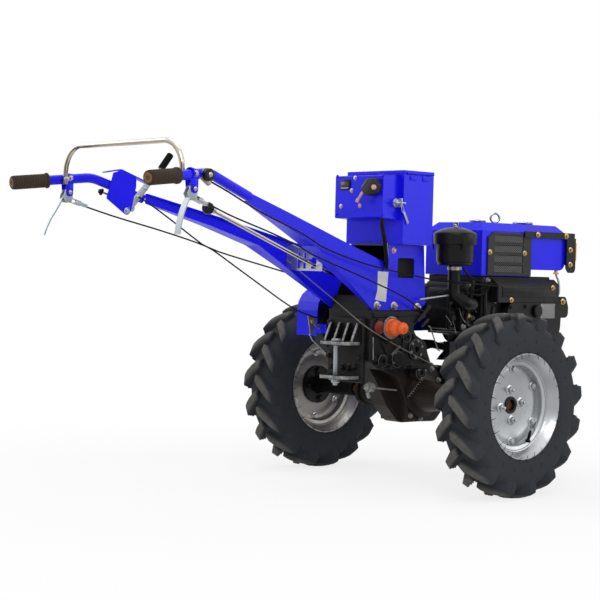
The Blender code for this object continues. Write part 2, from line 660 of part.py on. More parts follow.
def tube_point(x, sign=1):
    """The centre of the handle tube, between its bend and its grip, at a given X."""
    before, end = Vector(HANDLE_ROUTE[1]), Vector(HANDLE_ROUTE[2])
    place = before.lerp(end, (x - before.x) / (end.x - before.x))
    return Vector((place.x, sign * place.y, place.z))


def grab_bar(machine):
    """The chromed bar that is clamped between the two handle tubes."""
    seat = tube_point(GRAB_BAR_X)
    y = seat.y - TUBE_RADIUS - GRAB_BAR_RADIUS - 0.0009
    low = seat.z - TUBE_RADIUS
    corners = [(GRAB_BAR_X, y, low), (GRAB_BAR_X, y, GRAB_BAR_TOP), (GRAB_BAR_X, -y, GRAB_BAR_TOP), (GRAB_BAR_X, -y, low)]
    tube("grab_bar", bent_route(corners, GRAB_BAR_BEND, 6), GRAB_BAR_RADIUS, "chrome", machine)


def squeeze_lever(side, sign, machine):
    """A bent hand lever hung under the handle tube: the finger blade and the cable's arm."""
    pivot_x, pivot_z = LEVER_PIVOT_X, 0.934
    seat = tube_point(pivot_x)
    low = TUBE_RADIUS + GAP
    outline = rounded([(pivot_x - 0.016, tube_point(pivot_x - 0.016).z - low, 0),
                       (pivot_x + 0.016, tube_point(pivot_x + 0.016).z - low, 0), (pivot_x + 0.014, pivot_z - 0.010, 0.005),
                       (-1.134, 0.897, 0.006), (-1.141, 0.882, 0.006), (pivot_x - 0.002, pivot_z - 0.036, 0.010),
                       (-1.236, 0.862, 0.03), (-1.264, 0.796, 0.004), (-1.275, 0.800, 0.004), (-1.250, 0.872, 0.03),
                       (pivot_x - 0.018, pivot_z - 0.002, 0.01)], 3)
    bm = slab(outline, -0.003, 0.003, "Y")
    piece("squeeze_lever_" + side, bm, "silver", machine, (0, sign * seat.y, 0))


def clutch_controls(machine):
    """The lever plate inside the left tube with its folded top, and the clutch lever that it carries."""
    before, after = Vector(HANDLE_ROUTE[0]), Vector(HANDLE_ROUTE[1])
    slope = (after.y - before.y) / (after.x - before.x)
    turn = math.atan(slope)
    place = (-1.020, before.y + slope * (-1.020 - before.x), 0)
    outline = rounded([(-1.062, 0.994, 0), (-1.084, 0.915, 0.006), (-1.016, 0.866, 0.006), (-1.000, 0.880, 0.004),
                       (-0.984, 0.955, 0.004), (-0.984, 0.984, 0), (-1.036, 1.003, 0)], 2)
    face = -(TUBE_RADIUS + GAP * 2) / math.cos(turn)
    plate = slab([(x - place[0], z) for x, z in outline], face - 0.004, face, "Y")
    bracket = piece("lever_bracket", plate, "blue", machine, place, turn)
    fold = rounded([(-1.086, 0.993, 0), (-1.036, 1.003, 0.02), (-0.935, 0.964, 0), (-0.935, 0.968, 0), (-1.036, 1.007, 0.02),
                    (-1.086, 0.997, 0)], 2)
    top = piece("lever_bracket_top", slab([(x - place[0], z) for x, z in fold], face - 0.004, face + 0.026, "Y"), "blue",
                machine, place, turn)
    boolean(bracket, top)
    lever = rounded([(-1.026, 0.884, 0.009), (-1.007, 0.870, 0.009), (-0.946, 0.946, 0.004), (-0.904, 1.004, 0),
                     (-0.911, 1.010, 0), (-0.966, 0.962, 0.004)], 3)
    lever_face = face - 0.004 - GAP
    lever_plate = slab([(x - place[0], z) for x, z in lever], lever_face - 0.005, lever_face, "Y")
    clutch = piece("clutch_lever", lever_plate, "zinc", machine, place, turn)
    grip_start = Vector((-0.9071 - place[0], lever_face - 0.0025, 1.0073))
    sleeve = piece("clutch_grip", bar(grip_start, grip_start + Vector((0.040, 0, 0.052)), 0.010, 12), "grip", machine,
                   place, turn)
    return clutch, sleeve


def gear_controls(machine):
    """The gate that bridges the arms, the gear rod that passes through it, and its ball."""
    left_y = min(arm_inner_y(GATE_X - 0.002), arm_inner_y(GATE_X + 0.002)) - GAP
    outline = rounded([(-0.040, 0.7085, 0.004), (left_y, 0.7085, 0), (left_y, 0.784, 0), (0.106, 0.793, 0.006),
                       (-0.014, 0.757, 0.006), (-0.040, 0.749, 0.004)], 2)
    gate = piece("gate_plate", slab(outline, GATE_X - 0.002, GATE_X + 0.002, "X"), "silver", machine)
    # Columns: first and last y, first and last z of each slot
    slots = ((-0.012, 0.076, 0.736, 0.746), (-0.012, 0.012, 0.7155, 0.752), (0.038, 0.050, 0.7155, 0.766),
             (0.066, 0.078, 0.7155, 0.766))
    for index, (low_y, high_y, low_z, high_z) in enumerate(slots):
        cutter = box((GATE_X - 0.02, low_y, low_z), (GATE_X + 0.02, high_y, high_z))
        boolean(gate, piece("gate_slot_%d" % (index + 1), cutter, "silver", machine), "DIFFERENCE")
    route = bent_route([(-0.880, -0.003, 0.884), (-0.462, 0.0, 0.7305), (-0.250, 0.0, 0.665),
                        (-0.250, 0.0, CASE_TOP + RISER_HEIGHT + GAP)], 0.02, 3)
    tube("gear_rod", route, 0.006, "chrome", machine, 2)
    ball = bmesh.new()
    bmesh.ops.create_uvsphere(ball, u_segments=14, v_segments=8, radius=0.019)
    piece("gear_knob", ball, "black", machine, (-0.898, -0.0032, 0.8905))


def handles(machine):
    handle_base(machine)
    for side, sign in (("left", 1), ("right", -1)):
        handle_arm(side, sign, machine)
        handle_tube(side, sign, machine)
        grip(side, sign, machine)
        squeeze_lever(side, sign, machine)
    grab_bar(machine)
    clutch_controls(machine)
    gear_controls(machine)


# Battery box

def battery_box(machine):
    """An open sheet box on the handle base, the battery in it and its hinged lid."""
    t = SHEET
    shell = piece("battery_box", box((BOX_REAR_X, -BOX_HALF_WIDTH, BOX_FLOOR), (BOX_FRONT_X, BOX_HALF_WIDTH, BOX_RIM)),
                  "blue", machine)
    hollow = piece("box_hollow", box((BOX_REAR_X + t, -BOX_HALF_WIDTH + t, BOX_FLOOR + t),
                                     (BOX_FRONT_X - t, BOX_HALF_WIDTH - t, BOX_RIM + 0.1)), "blue", machine)
    boolean(shell, hollow, "DIFFERENCE")
    length, width, height = BATTERY_SIZE
    middle = (BOX_REAR_X + BOX_FRONT_X) / 2
    floor = BOX_FLOOR + t + GAP
    piece("battery", box((middle - length / 2, -width / 2, floor), (middle + length / 2, width / 2, floor + height), 0.003),
          "black", machine)
    lid_axis = empty("lid_axis", (middle, -BOX_HALF_WIDTH - LID_HINGE_RADIUS, BOX_RIM + LID_HINGE_RADIUS), machine)
    lip = 0.002
    lid = box((BOX_REAR_X - lip - middle, LID_HINGE_RADIUS - lip, GAP - LID_HINGE_RADIUS),
              (BOX_FRONT_X + lip - middle, 2 * BOX_HALF_WIDTH + LID_HINGE_RADIUS + lip, LID_HEIGHT - LID_HINGE_RADIUS), 0.002)
    piece("battery_lid", lid, "blue", lid_axis)


def control_panel(machine):
    """The sheet housing on the rear of the box that holds the switches."""
    front = BOX_REAR_X - GAP
    outline = rounded([(PANEL_REAR_X, PANEL_LOW + 0.004, 0.004), (front, PANEL_LOW, 0), (front, PANEL_HIGH, 0),
                       (PANEL_REAR_X, PANEL_HIGH - 0.004, 0.004)], 2)
    piece("control_panel", slab(outline, -PANEL_HALF_WIDTH, PANEL_HALF_WIDTH, "Y"), "blue", machine)
    face = PANEL_REAR_X - GAP
    body = disc_between(0.030, face - 0.020, face, 6, "X", 0.003)
    switch = piece("battery_switch", body, "black", machine, (0, SWITCH_Y, SWITCH_Z))
    handle = piece("switch_handle", box((face - 0.040, -0.010, -0.028), (face - 0.012, 0.010, 0.028), 0.003), "black",
                   machine, (0, SWITCH_Y, SWITCH_Z))
    handle.rotation_euler.x = math.radians(-55)
    boolean(switch, handle)


# Engine

def engine(machine):
    """The engine as one plain block, with its head, muffler and right-hand covers."""
    right, left = BLOCK_RIGHT_Y, BLOCK_LEFT_Y
    block = rounded([(BLOCK_REAR_X, HEAD_LOW - 0.004, 0.004), (SUMP_REAR_X - 0.010, HEAD_LOW - 0.012, 0.008),
                     (SUMP_REAR_X + 0.002, 0.470, 0.010), (SUMP_REAR_X - 0.002, ENGINE_BOTTOM, 0),
                     (BLOCK_FRONT_X - 0.02, ENGINE_BOTTOM, 0.03),
                     (BLOCK_FRONT_X, 0.600, 0.03), (BLOCK_FRONT_X - 0.03, HOOD_LOW - GAP, 0),
                     (BLOCK_REAR_X, HOOD_LOW - GAP, 0)])
    piece("engine_block", slab(block, right, left, "Y", 0.004), "cast_black", machine)
    front = BLOCK_REAR_X - GAP
    head = rounded([(0.135, HEAD_LOW + 0.006, 0.010), (front, HEAD_LOW, 0), (front, 0.690, 0), (0.135, 0.680, 0.010)])
    head_piece = piece("cylinder_head", slab(head, HEAD_RIGHT_Y, 0.050, "Y", 0.004), "cast_black", machine)
    rocker = rounded([(HEAD_REAR_X, HEAD_LOW + 0.018, 0.012), (0.145, HEAD_LOW + 0.012, 0), (0.145, 0.668, 0), (HEAD_REAR_X, 0.660, 0.015)])
    boolean(head_piece, piece("rocker_cover", slab(rocker, HEAD_RIGHT_Y + 0.020, 0.000, "Y", 0.006), "cast_black", machine))
    cover = rounded([(0.300, 0.470, 0.05), (0.590, 0.470, 0.06), (0.598, 0.6145, 0.01), (0.300, 0.6145, 0.03)], 4)
    piece("gear_cover", slab(cover, right - GAP - 0.034, right - GAP, "Y"), "black", machine)
    side = [(right - GAP, 0.6155), (right - 0.038, 0.6155), (right - 0.038, 0.678), (right - 0.014, 0.697),
            (right - GAP, 0.697)]
    piece("side_cover", slab(side, 0.240, 0.578, "X", 0.003), "black", machine)
    lobes = rounded([(BLOCK_FRONT_X - 0.0001, 0.560, 0), (0.655, 0.560, 0.018), (0.655, 0.600, 0.015), (0.640, 0.636, 0.014),
                     (BLOCK_FRONT_X - 0.0001, 0.636, 0)], 3)
    piece("front_cover", slab(lobes, right - 0.020, right + 0.060, "Y"), "black", machine)
    muffler = disc_between(0.034, 0.050 + GAP, 0.095, 16, "Y", 0.008)
    piece("muffler", muffler, "black", machine, (0.166, 0, 0.640))


def hood_section(low, shoulder, top, inset):
    """An outline across the machine with its upper corners cut at a slant."""
    right, left = HOOD_MIDDLE_Y - HOOD_HALF_WIDTH, HOOD_MIDDLE_Y + HOOD_HALF_WIDTH
    return [(right, low), (left, low), (left, shoulder), (left - inset, top), (right + inset, top), (right, shoulder)]


def hood(machine):
    """The radiator housing with its side grilles, the tank before it and the caps on both."""
    right, left = HOOD_MIDDLE_Y - HOOD_HALF_WIDTH, HOOD_MIDDLE_Y + HOOD_HALF_WIDTH
    section = hood_section(HOOD_LOW, HOOD_SHOULDER, HOOD_TOP, HOOD_CHAMFER)
    housing = piece("radiator_housing", slab(section, HOOD_REAR_X, GRILLE_FRONT_X, "X"), "blue", machine)
    rear_slope = [(HOOD_REAR_X - 0.02, HOOD_SHOULDER), (HOOD_REAR_X, HOOD_SHOULDER), (HOOD_REAR_X + HOOD_CHAMFER, HOOD_TOP),
                  (HOOD_REAR_X + HOOD_CHAMFER, HOOD_TOP + 0.02), (HOOD_REAR_X - 0.02, HOOD_TOP + 0.02)]
    boolean(housing, piece("hood_rear_slope", slab(rear_slope, right - 0.02, left + 0.02, "Y"), "blue", machine), "DIFFERENCE")
    for side, inner, sign in (("left", left, 1), ("right", right, -1)):
        outline = rounded([(GRILLE_REAR_X, HOOD_LOW + 0.002, 0), (GRILLE_FRONT_X - 0.002, HOOD_LOW + 0.002, 0),
                           (GRILLE_FRONT_X - 0.002, 0.838, 0), (GRILLE_FRONT_X - 0.047, 0.857, 0),
                           (GRILLE_REAR_X + 0.033, 0.857, 0), (GRILLE_REAR_X, 0.838, 0)])
        low_y, high_y = sorted((inner + sign * GAP, inner + sign * 0.006))
        grille = piece("grille_" + side, slab(outline, low_y, high_y, "Y"), "black", machine)
        for row in range(GRILLE_ROWS):
            low_z = HOOD_LOW + 0.012 + row * GRILLE_PITCH
            window = box((GRILLE_WINDOW_REAR_X, low_y - 0.01, low_z), (GRILLE_WINDOW_FRONT_X, high_y + 0.01, low_z + GRILLE_WINDOW))
            boolean(grille, piece("grille_window_%s_%d" % (side, row + 1), window, "black", machine), "DIFFERENCE")
    rear = GRILLE_FRONT_X + GAP
    tank = rounded([(rear, TANK_LOW, 0), (TANK_FRONT_X, TANK_LOW, 0.030), (TANK_FRONT_X, HOOD_TOP - 0.026, 0.010),
                    (TANK_FRONT_X - 0.022, HOOD_TOP, 0.006), (rear, HOOD_TOP, 0)], 4)
    tank_piece = piece("fuel_tank", slab(tank, right, left, "Y"), "blue", machine)
    for sign in (1, -1):
        side = HOOD_MIDDLE_Y + sign * HOOD_HALF_WIDTH
        corner = [(side, HOOD_SHOULDER), (side - sign * HOOD_CHAMFER, HOOD_TOP), (side - sign * HOOD_CHAMFER, HOOD_TOP + 0.02),
                  (side + sign * 0.02, HOOD_TOP + 0.02), (side + sign * 0.02, HOOD_SHOULDER)]
        cutter = piece("tank_corner_" + ("left" if sign > 0 else "right"), slab(corner, rear - 0.01, TANK_FRONT_X + 0.02, "X"),
                       "blue", machine)
        boolean(tank_piece, cutter, "DIFFERENCE")
    piece("radiator_cap", disc_between(0.030, 0, 0.012, 16, "Z", 0.002), "chrome", machine,
          (0.309, HOOD_MIDDLE_Y, HOOD_TOP + GAP))
    piece("fuel_cap", disc_between(0.037, 0, 0.016, 20, "Z", 0.003), "chrome", machine,
          (0.559, HOOD_MIDDLE_Y, HOOD_TOP + GAP))


def front_guard(machine):
    """The black strap that loops over the front of the tank, and the lamp that it carries."""
    clear = 0.0125
    right, left = HOOD_MIDDLE_Y - HOOD_HALF_WIDTH - clear, HOOD_MIDDLE_Y + HOOD_HALF_WIDTH + clear
    t = 0.006
    back = 0.402
    outer = rounded([(back, right, 0), (GUARD_FRONT_X, right, 0.010), (GUARD_FRONT_X, left, 0.010), (back, left, 0)], 2)
    inner = [(back - 0.01, right + t), (GUARD_FRONT_X - t, right + t), (GUARD_FRONT_X - t, left - t), (back - 0.01, left - t)]
    guard = piece("front_guard", slab(outer, GUARD_LOW, GUARD_HIGH, "Z"), "black", machine)
    leg_rear, leg_low = GUARD_FRONT_X - 0.052, 0.722
    leg = rounded([(leg_rear, GUARD_LOW + 0.004, 0), (leg_rear, leg_low + 0.016, 0.010), (leg_rear + 0.015, leg_low, 0.010),
                   (GUARD_FRONT_X, leg_low, 0.016), (GUARD_FRONT_X, GUARD_LOW + 0.004, 0)])
    for side, y in (("left", left - t), ("right", right)):
        boolean(guard, piece("guard_leg_" + side, slab(leg, y, y + t, "Y"), "black", machine))
    plate = piece("guard_front", box((GUARD_FRONT_X - t, right + 0.004, 0.750), (GUARD_FRONT_X, left - 0.004, GUARD_LOW + 0.004)),
                  "black", machine)
    boolean(guard, plate)
    boolean(guard, piece("guard_inside", slab(inner, 0.80, 0.90, "Z"), "black", machine), "DIFFERENCE")
    for side, y in (("left", left - 0.045), ("right", right + 0.045)):
        lamp = box((GUARD_FRONT_X + GAP, y - 0.042, 0.765), (LAMP_FRONT_X, y + 0.042, 0.832), 0.003)
        piece("front_lamp_" + side, lamp, "amber", machine)


def air_cleaner(machine):
    """The upright air cleaner behind the hood, and the elbow that feeds the head from it."""
    x, y, low, high = 0.080, -0.130, 0.738, 0.866
    body = [(0, low), (0.058, low), (0.062, low + 0.008), (0.064, high - 0.058), (0.072, high - 0.056),
            (0.074, high - 0.020), (0.066, high - 0.012), (0.030, high), (0.006, high + 0.002), (0.006, high + 0.020),
            (0, high + 0.022)]
    piece("air_cleaner", turned(body, 24, "Z"), "black", machine, (x, y, 0))
    route = bent_route([(x, y, low - GAP), (x, y, 0.640), (0.112, -0.160, 0.610), (0.156, -0.160, 0.606),
                        (0.156, HEAD_RIGHT_Y - GAP, 0.606)], 0.024, 4)
    tube("intake_pipe", route, 0.0215, "black", machine)


# Belt drive

def belt_loop(radius_a, radius_b, steps=10):
    """The outline of a belt round the engine pulley and the clutch pulley."""
    front, rear = Vector((CRANK_X, CRANK_Z)), Vector((CLUTCH_X, CLUTCH_Z))
    line = front - rear
    heading = math.atan2(line.y, line.x)
    half_wrap = math.acos((radius_a - radius_b) / line.length)
    outline = []
    for centre, radius, first, last in ((front, radius_a, heading - half_wrap, heading + half_wrap),
                                        (rear, radius_b, heading + half_wrap, heading + 2 * math.pi - half_wrap)):
        for step in range(steps + 1):
            angle = first + (last - first) * step / steps
            outline.append(centre + Vector((math.cos(angle), math.sin(angle))) * radius)
    return outline


def belt_drive(machine):
    low, high = BELT_PLANE_Y - BELT_WIDTH / 2, BELT_PLANE_Y + BELT_WIDTH / 2
    r, rim = ENGINE_PULLEY_RADIUS, 0.008
    wheel_profile = [(0, BLOCK_LEFT_Y + GAP), (0.035, BLOCK_LEFT_Y + GAP), (0.035, 0.106), (FLYWHEEL_RADIUS, 0.106),
                     (FLYWHEEL_RADIUS, 0.142), (r + rim, 0.142), (r + rim, low - 0.003), (r, low), (r, high),
                     (r + rim, high + 0.003), (0, high + 0.003)]
    piece("flywheel", turned(wheel_profile, 24), "cast_black", machine, (CRANK_X, 0, CRANK_Z))
    c = CLUTCH_PULLEY_RADIUS
    clutch_profile = [(0, CASE_HALF_WIDTH + GAP), (0.034, CASE_HALF_WIDTH + GAP), (0.034, low - 0.006),
                      (c + rim, low - 0.004), (c, low), (c, high), (c + rim, high + 0.003), (0.030, high + 0.003),
                      (0.030, high - 0.008), (0, high - 0.008)]
    piece("clutch_pulley", turned(clutch_profile, 24), "cast_black", machine, (CLUTCH_X, 0, CLUTCH_Z))
    belt = piece("drive_belts", slab(belt_loop(r + BELT_THICKNESS, c + BELT_THICKNESS), low + GAP, high - GAP, "Y"),
                 "tyre", machine)
    inside = piece("belt_inside", slab(belt_loop(r + 2 * GAP, c + 2 * GAP, 16), low - 0.05, high + 0.05, "Y"), "tyre", machine)
    boolean(belt, inside, "DIFFERENCE")


def belt_guard(machine):
    """The sheet cover over the belts, rounded behind the clutch pulley and open below."""
    outer_y, inner_y = 0.246, 0.146
    t = SHEET
    top = ((-0.292, 0.648, 0.075), (-0.130, 0.652, 0.12), (0.240, 0.603, 0.30), (0.380, 0.610, 0.10), (0.556, 0.598, 0.05))
    low = ((0.562, 0.500, 0), (0.270, 0.496, 0.05), (0.110, 0.482, 0.05))
    outer = [(-0.292, 0.490, 0)] + list(top) + list(low)
    inner = [(-0.292 + t, 0.390, 0), (-0.292 + t, 0.648 - t, 0.075 - t), (-0.130, 0.652 - t, 0.12), (0.240, 0.603 - t, 0.30),
             (0.380, 0.610 - t, 0.10), (0.556 - t, 0.598 - t, 0.05), (0.562 - t, 0.390, 0)]
    guard = piece("belt_guard", slab(rounded(outer, 4), inner_y, outer_y, "Y"), "blue", machine)
    hollow = piece("guard_hollow", slab(rounded(inner, 4), inner_y - 0.1, outer_y - t, "Y"), "blue", machine)
    boolean(guard, hollow, "DIFFERENCE")
    rear_stay = box((-0.2915, CASE_HALF_WIDTH + GAP, 0.500), (-0.268, inner_y + 0.004, 0.530))
    boolean(guard, piece("guard_stay_rear", rear_stay, "blue", machine))
    top_stay = box((-0.100, BASE_HALF_WIDTH + BASE_SHEET + GAP, 0.634), (-0.070, inner_y + 0.004, 0.6470))
    boolean(guard, piece("guard_stay_top", top_stay, "blue", machine))


# Frame and stand

def engine_frame(machine):
    """Two rails tied by cross members, from the gearbox out under the engine."""
    w, h = RAIL_WIDTH, RAIL_HEIGHT
    low, high = RAIL_TOP - h, RAIL_TOP
    rear = FRAME_REAR_X
    frame = None
    for sign in (1, -1):
        side = "left" if sign > 0 else "right"
        web = sorted((sign * RAIL_HALF_SPACING, sign * (RAIL_HALF_SPACING - w)))
        outline = [(rear, 0.430), (0.199, 0.446), (0.286, 0.4325), (0.262, 0.413), (0.250, low), (RAIL_FRONT_X, low), (RAIL_FRONT_X, high),
                   (0.303, high), (0.288, 0.4435), (0.199, 0.474), (rear, 0.478)]
        rail = piece("rail_" + side, slab(outline, *web, "Y"), "black", machine)
        if frame is None:
            frame = rail
            frame.name = "engine_frame"
        else:
            boolean(frame, rail)
    plate = piece("frame_plate", box((rear, -RAIL_HALF_SPACING + 0.002, FRAME_PLATE_LOW),
                                     (rear + 0.012, RAIL_HALF_SPACING - 0.002, 0.394)), "black", machine)
    boolean(frame, plate)
    for sign in (1, -1):
        web = sorted((sign * (RAIL_HALF_SPACING - 0.002), sign * (RAIL_HALF_SPACING - 0.010)))
        knee = [(rear + 0.002, FRAME_PLATE_LOW + 0.002), (rear + 0.010, FRAME_PLATE_LOW + 0.002), (0.150, 0.448), (rear + 0.002, 0.448)]
        boolean(frame, piece("frame_knee_" + ("left" if sign > 0 else "right"), slab(knee, *web, "Y"), "black", machine))
    for index, (x, depth) in enumerate(((RAIL_FRONT_X - 0.030, 0.030), (0.318, 0.040))):
        cross = piece("frame_cross_%d" % (index + 1), box((x, -RAIL_HALF_SPACING + 0.004, low + 0.006),
                                                          (x + depth, RAIL_HALF_SPACING - 0.004, high - 0.006)),
                      "black", machine)
        boolean(frame, cross)
    for sign in (1, -1):
        side = "left" if sign > 0 else "right"
        inner = sign * (STAND_HALF_WIDTH + STAND_TUBE_RADIUS + GAP * 2)
        lug = rounded([(STAND_PIVOT_X - 0.022, STAND_PIVOT_Z - 0.018, 0.012), (STAND_PIVOT_X + 0.022, STAND_PIVOT_Z - 0.018, 0.012),
                       (STAND_PIVOT_X + 0.030, high - 0.006, 0), (STAND_PIVOT_X - 0.030, high - 0.006, 0)], 3)
        y_low, y_high = sorted((inner, inner + sign * 0.006))
        boolean(frame, piece("stand_lug_" + side, slab(lug, y_low, y_high, "Y"), "black", machine))
        y_low, y_high = sorted((sign * (RAIL_HALF_SPACING - 0.004), inner + sign * 0.003))
        block = box((STAND_PIVOT_X - 0.020, y_low, low + 0.010), (STAND_PIVOT_X + 0.020, y_high, high - 0.010))
        boolean(frame, piece("lug_spacer_" + side, block, "black", machine))
    return frame


def front_stand(machine):
    """The folding stand: a bent tube that hangs from the frame and rests on the ground."""
    axis = empty("stand_axis", (STAND_PIVOT_X, 0, STAND_PIVOT_Z), machine)
    w, r = STAND_HALF_WIDTH, STAND_TUBE_RADIUS
    foot_x, foot_z = STAND_FOOT_X - STAND_PIVOT_X, r - STAND_PIVOT_Z
    corners = [(0, w, 0), (foot_x, w, foot_z), (foot_x, -w, foot_z), (0, -w, 0)]
    tube("front_stand", bent_route(corners, 0.04, 4), r, "black", axis)


# Cables

def cables(machine):
    """Control cables from the levers to the gearbox and the clutch."""
    start_y = tube_point(LEVER_PIVOT_X).y
    for side, sign in (("left", 1), ("right", -1)):
        points = mirrored([(-1.1370, start_y, 0.8885), (-1.035, 0.277, 0.860), (-0.872, 0.250, 0.8215), (-0.735, 0.228, 0.785),
                           (-0.655, 0.212, 0.758), (-0.365, 0.158, 0.687), (-0.149, 0.122, 0.627), (-0.040, 0.1028, 0.577)], sign)
        tube("steering_cable_" + side, smooth_route(points, CABLE_SPACING), CABLE_RADIUS, "black", machine, 2)
    points = [(-0.9850, 0.2290, 0.9235), (-0.945, 0.214, 0.8990), (-0.860, 0.207, 0.8490), (-0.762, 0.195, 0.787),
              (-0.716, 0.190, 0.767), (-0.560, 0.172, 0.676), (-0.392, 0.155, 0.582), (-0.300, 0.1220, 0.549),
              (-0.240, 0.1028, 0.548)]
    tube("clutch_cable", smooth_route(points, CABLE_SPACING), CABLE_RADIUS, "black", machine, 2)


def build():
    clear_scene()
    machine = empty("machine", (AXLE_X, 0, 0))
    wheels(machine)
    gearbox_case(machine)
    hitch(machine)
    shaft_cap(machine)
    handles(machine)
    battery_box(machine)
    control_panel(machine)
    engine(machine)
    hood(machine)
    front_guard(machine)
    air_cleaner(machine)
    belt_drive(machine)
    belt_guard(machine)
    engine_frame(machine)
    front_stand(machine)
    cables(machine)


build()
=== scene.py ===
"""Looks of the walking tractor: paint, rubber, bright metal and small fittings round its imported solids."""

import math

import bmesh
import bpy
from bpy.props import FloatProperty, FloatVectorProperty, IntProperty, PointerProperty
from mathutils import Matrix, Vector


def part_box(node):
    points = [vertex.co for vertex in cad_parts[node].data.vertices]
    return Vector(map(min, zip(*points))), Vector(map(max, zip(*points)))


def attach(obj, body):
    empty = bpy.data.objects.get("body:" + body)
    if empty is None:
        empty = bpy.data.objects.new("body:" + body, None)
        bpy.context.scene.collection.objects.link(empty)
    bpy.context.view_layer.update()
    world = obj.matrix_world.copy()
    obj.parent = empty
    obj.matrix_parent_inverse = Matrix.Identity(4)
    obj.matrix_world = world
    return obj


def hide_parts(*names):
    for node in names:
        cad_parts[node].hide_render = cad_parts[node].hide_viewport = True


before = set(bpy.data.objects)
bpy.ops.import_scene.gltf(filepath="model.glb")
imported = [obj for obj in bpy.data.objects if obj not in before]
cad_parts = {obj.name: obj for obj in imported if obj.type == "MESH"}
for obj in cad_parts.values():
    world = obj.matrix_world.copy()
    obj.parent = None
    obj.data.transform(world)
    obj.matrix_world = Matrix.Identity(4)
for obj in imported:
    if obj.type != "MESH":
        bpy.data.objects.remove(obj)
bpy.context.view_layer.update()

bl_info = {
    "name": "Walking tractor looks",
    "version": (1, 0, 0),
    "blender": (4, 5, 0),
    "location": "3D View > Sidebar > Tractor",
    "description": "Dresses the walking tractor's solids with paint, rubber, metal and small fittings",
    "category": "Object",
}

AXLE_LOW, AXLE_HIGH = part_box("axle_shaft_left")
AXLE_X = (AXLE_LOW.x + AXLE_HIGH.x) / 2
AXLE_Z = (AXLE_LOW.z + AXLE_HIGH.z) / 2
MACHINE = Vector((AXLE_X, 0, 0))
TRACK_HALF = sum((corner.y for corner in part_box("tyre_left")), 0.0) / 2
TYRE_RADIUS = AXLE_Z
TYRE_HALF_WIDTH = 0.070
LUG_COLUMNS = 32
LUG_HEIGHT = 0.024
LUG_SWEEP = math.radians(13.5)
LOOK = "look_"
RIGHT, LEFT, REARWARD, UP = (0, -1, 0), (0, 1, 0), (-1, 0, 0), (0, 0, 1)


# Helpers for shapes. Places are in metres: forwards from the axle, left from the middle, up from ground.

def join(bm, part):
    """Adds a shape to another and frees it."""
    held = bpy.data.meshes.new("held")
    part.to_mesh(held)
    part.free()
    bm.from_mesh(held)
    bpy.data.meshes.remove(held)
    return bm


def soften(bm, edges, width, segments=2):
    bmesh.ops.bevel(bm, geom=edges, offset=width, segments=segments, profile=0.5, affect="EDGES",
                    material=-1, clamp_overlap=True)
    return bm


def block(low, high, edge=0.0, segments=2):
    """A block between two corners, its edges rounded."""
    bm = bmesh.new()
    low, high = Vector(low), Vector(high)
    bmesh.ops.create_cube(bm, size=1.0)
    bmesh.ops.scale(bm, vec=high - low, verts=bm.verts)
    bmesh.ops.translate(bm, vec=(high + low) / 2, verts=bm.verts)
    return soften(bm, bm.edges[:], edge, segments) if edge else bm


def aimed(bm, place, direction, roll=0.0):
    """Turns a shape made along Z to look along a direction, and moves it into place."""
    turn = Vector(direction).normalized().to_track_quat("Z", "Y").to_matrix()
    rolled = turn @ Matrix.Rotation(roll, 3, "Z")
    bmesh.ops.rotate(bm, cent=(0, 0, 0), matrix=rolled, verts=bm.verts)
    bmesh.ops.translate(bm, vec=place, verts=bm.verts)
    return bm


def rod(start, end, radius, segments=16, edge=0.0, end_radius=None):
    """A round bar between two points, its ends rounded."""
    start, end = Vector(start), Vector(end)
    bm = bmesh.new()
    bmesh.ops.create_cone(bm, cap_ends=True, segments=segments, radius1=radius,
                          radius2=radius if end_radius is None else end_radius, depth=(end - start).length)
    if edge:
        rims = [e for e in bm.edges if abs(e.verts[0].co.z - e.verts[1].co.z) < 1e-6]
        soften(bm, rims, edge)
    return aimed(bm, (start + end) / 2, end - start)


def set_round(bm, angle, place):
    """Turns a shape about the vertical, and moves it into place."""
    bmesh.ops.rotate(bm, cent=(0, 0, 0), matrix=Matrix.Rotation(angle, 3, "Z"), verts=bm.verts)
    bmesh.ops.translate(bm, vec=place, verts=bm.verts)
    return bm


def turned(profile, place=(0, 0, 0), direction=UP, segments=48):
    """A profile of (radius, along) spun round a direction."""
    bm = bmesh.new()
    ring = [bm.verts.new((radius, 0, along)) for radius, along in profile]
    line = [bm.edges.new(pair) for pair in zip(ring, ring[1:])]
    if profile[0][0] > 1e-6 or profile[-1][0] > 1e-6:
        line.append(bm.edges.new((ring[-1], ring[0])))
    bmesh.ops.spin(bm, geom=ring + line, cent=(0, 0, 0), axis=(0, 0, 1), dvec=(0, 0, 0), angle=2 * math.pi,
                   steps=segments, use_merge=True)
    bmesh.ops.remove_doubles(bm, verts=bm.verts, dist=1e-6)
    bmesh.ops.delete(bm, geom=[e for e in bm.edges if not e.link_faces], context="EDGES")
    return aimed(bm, place, direction)


def plate(outline, axis, low, high, edge=0.0, segments=2):
    """An outline pushed along an axis: (x, z) along Y, (y, z) along X or (x, y) along Z."""
    bm = bmesh.new()
    number = "XYZ".index(axis)
    push = [high - low if place == number else 0 for place in range(3)]
    face = bm.faces.new([bm.verts.new((*point[:number], low, *point[number:]))
                         for point in map(tuple, outline)])
    pushed = bmesh.ops.extrude_face_region(bm, geom=[face])
    bmesh.ops.translate(bm, vec=push, verts=[v for v in pushed["geom"]
                                             if isinstance(v, bmesh.types.BMVert)])
    if edge:
        rims = [e for e in bm.edges if any(len(f.verts) == len(outline) for f in e.link_faces)]
        soften(bm, rims, edge, segments)
    return bm


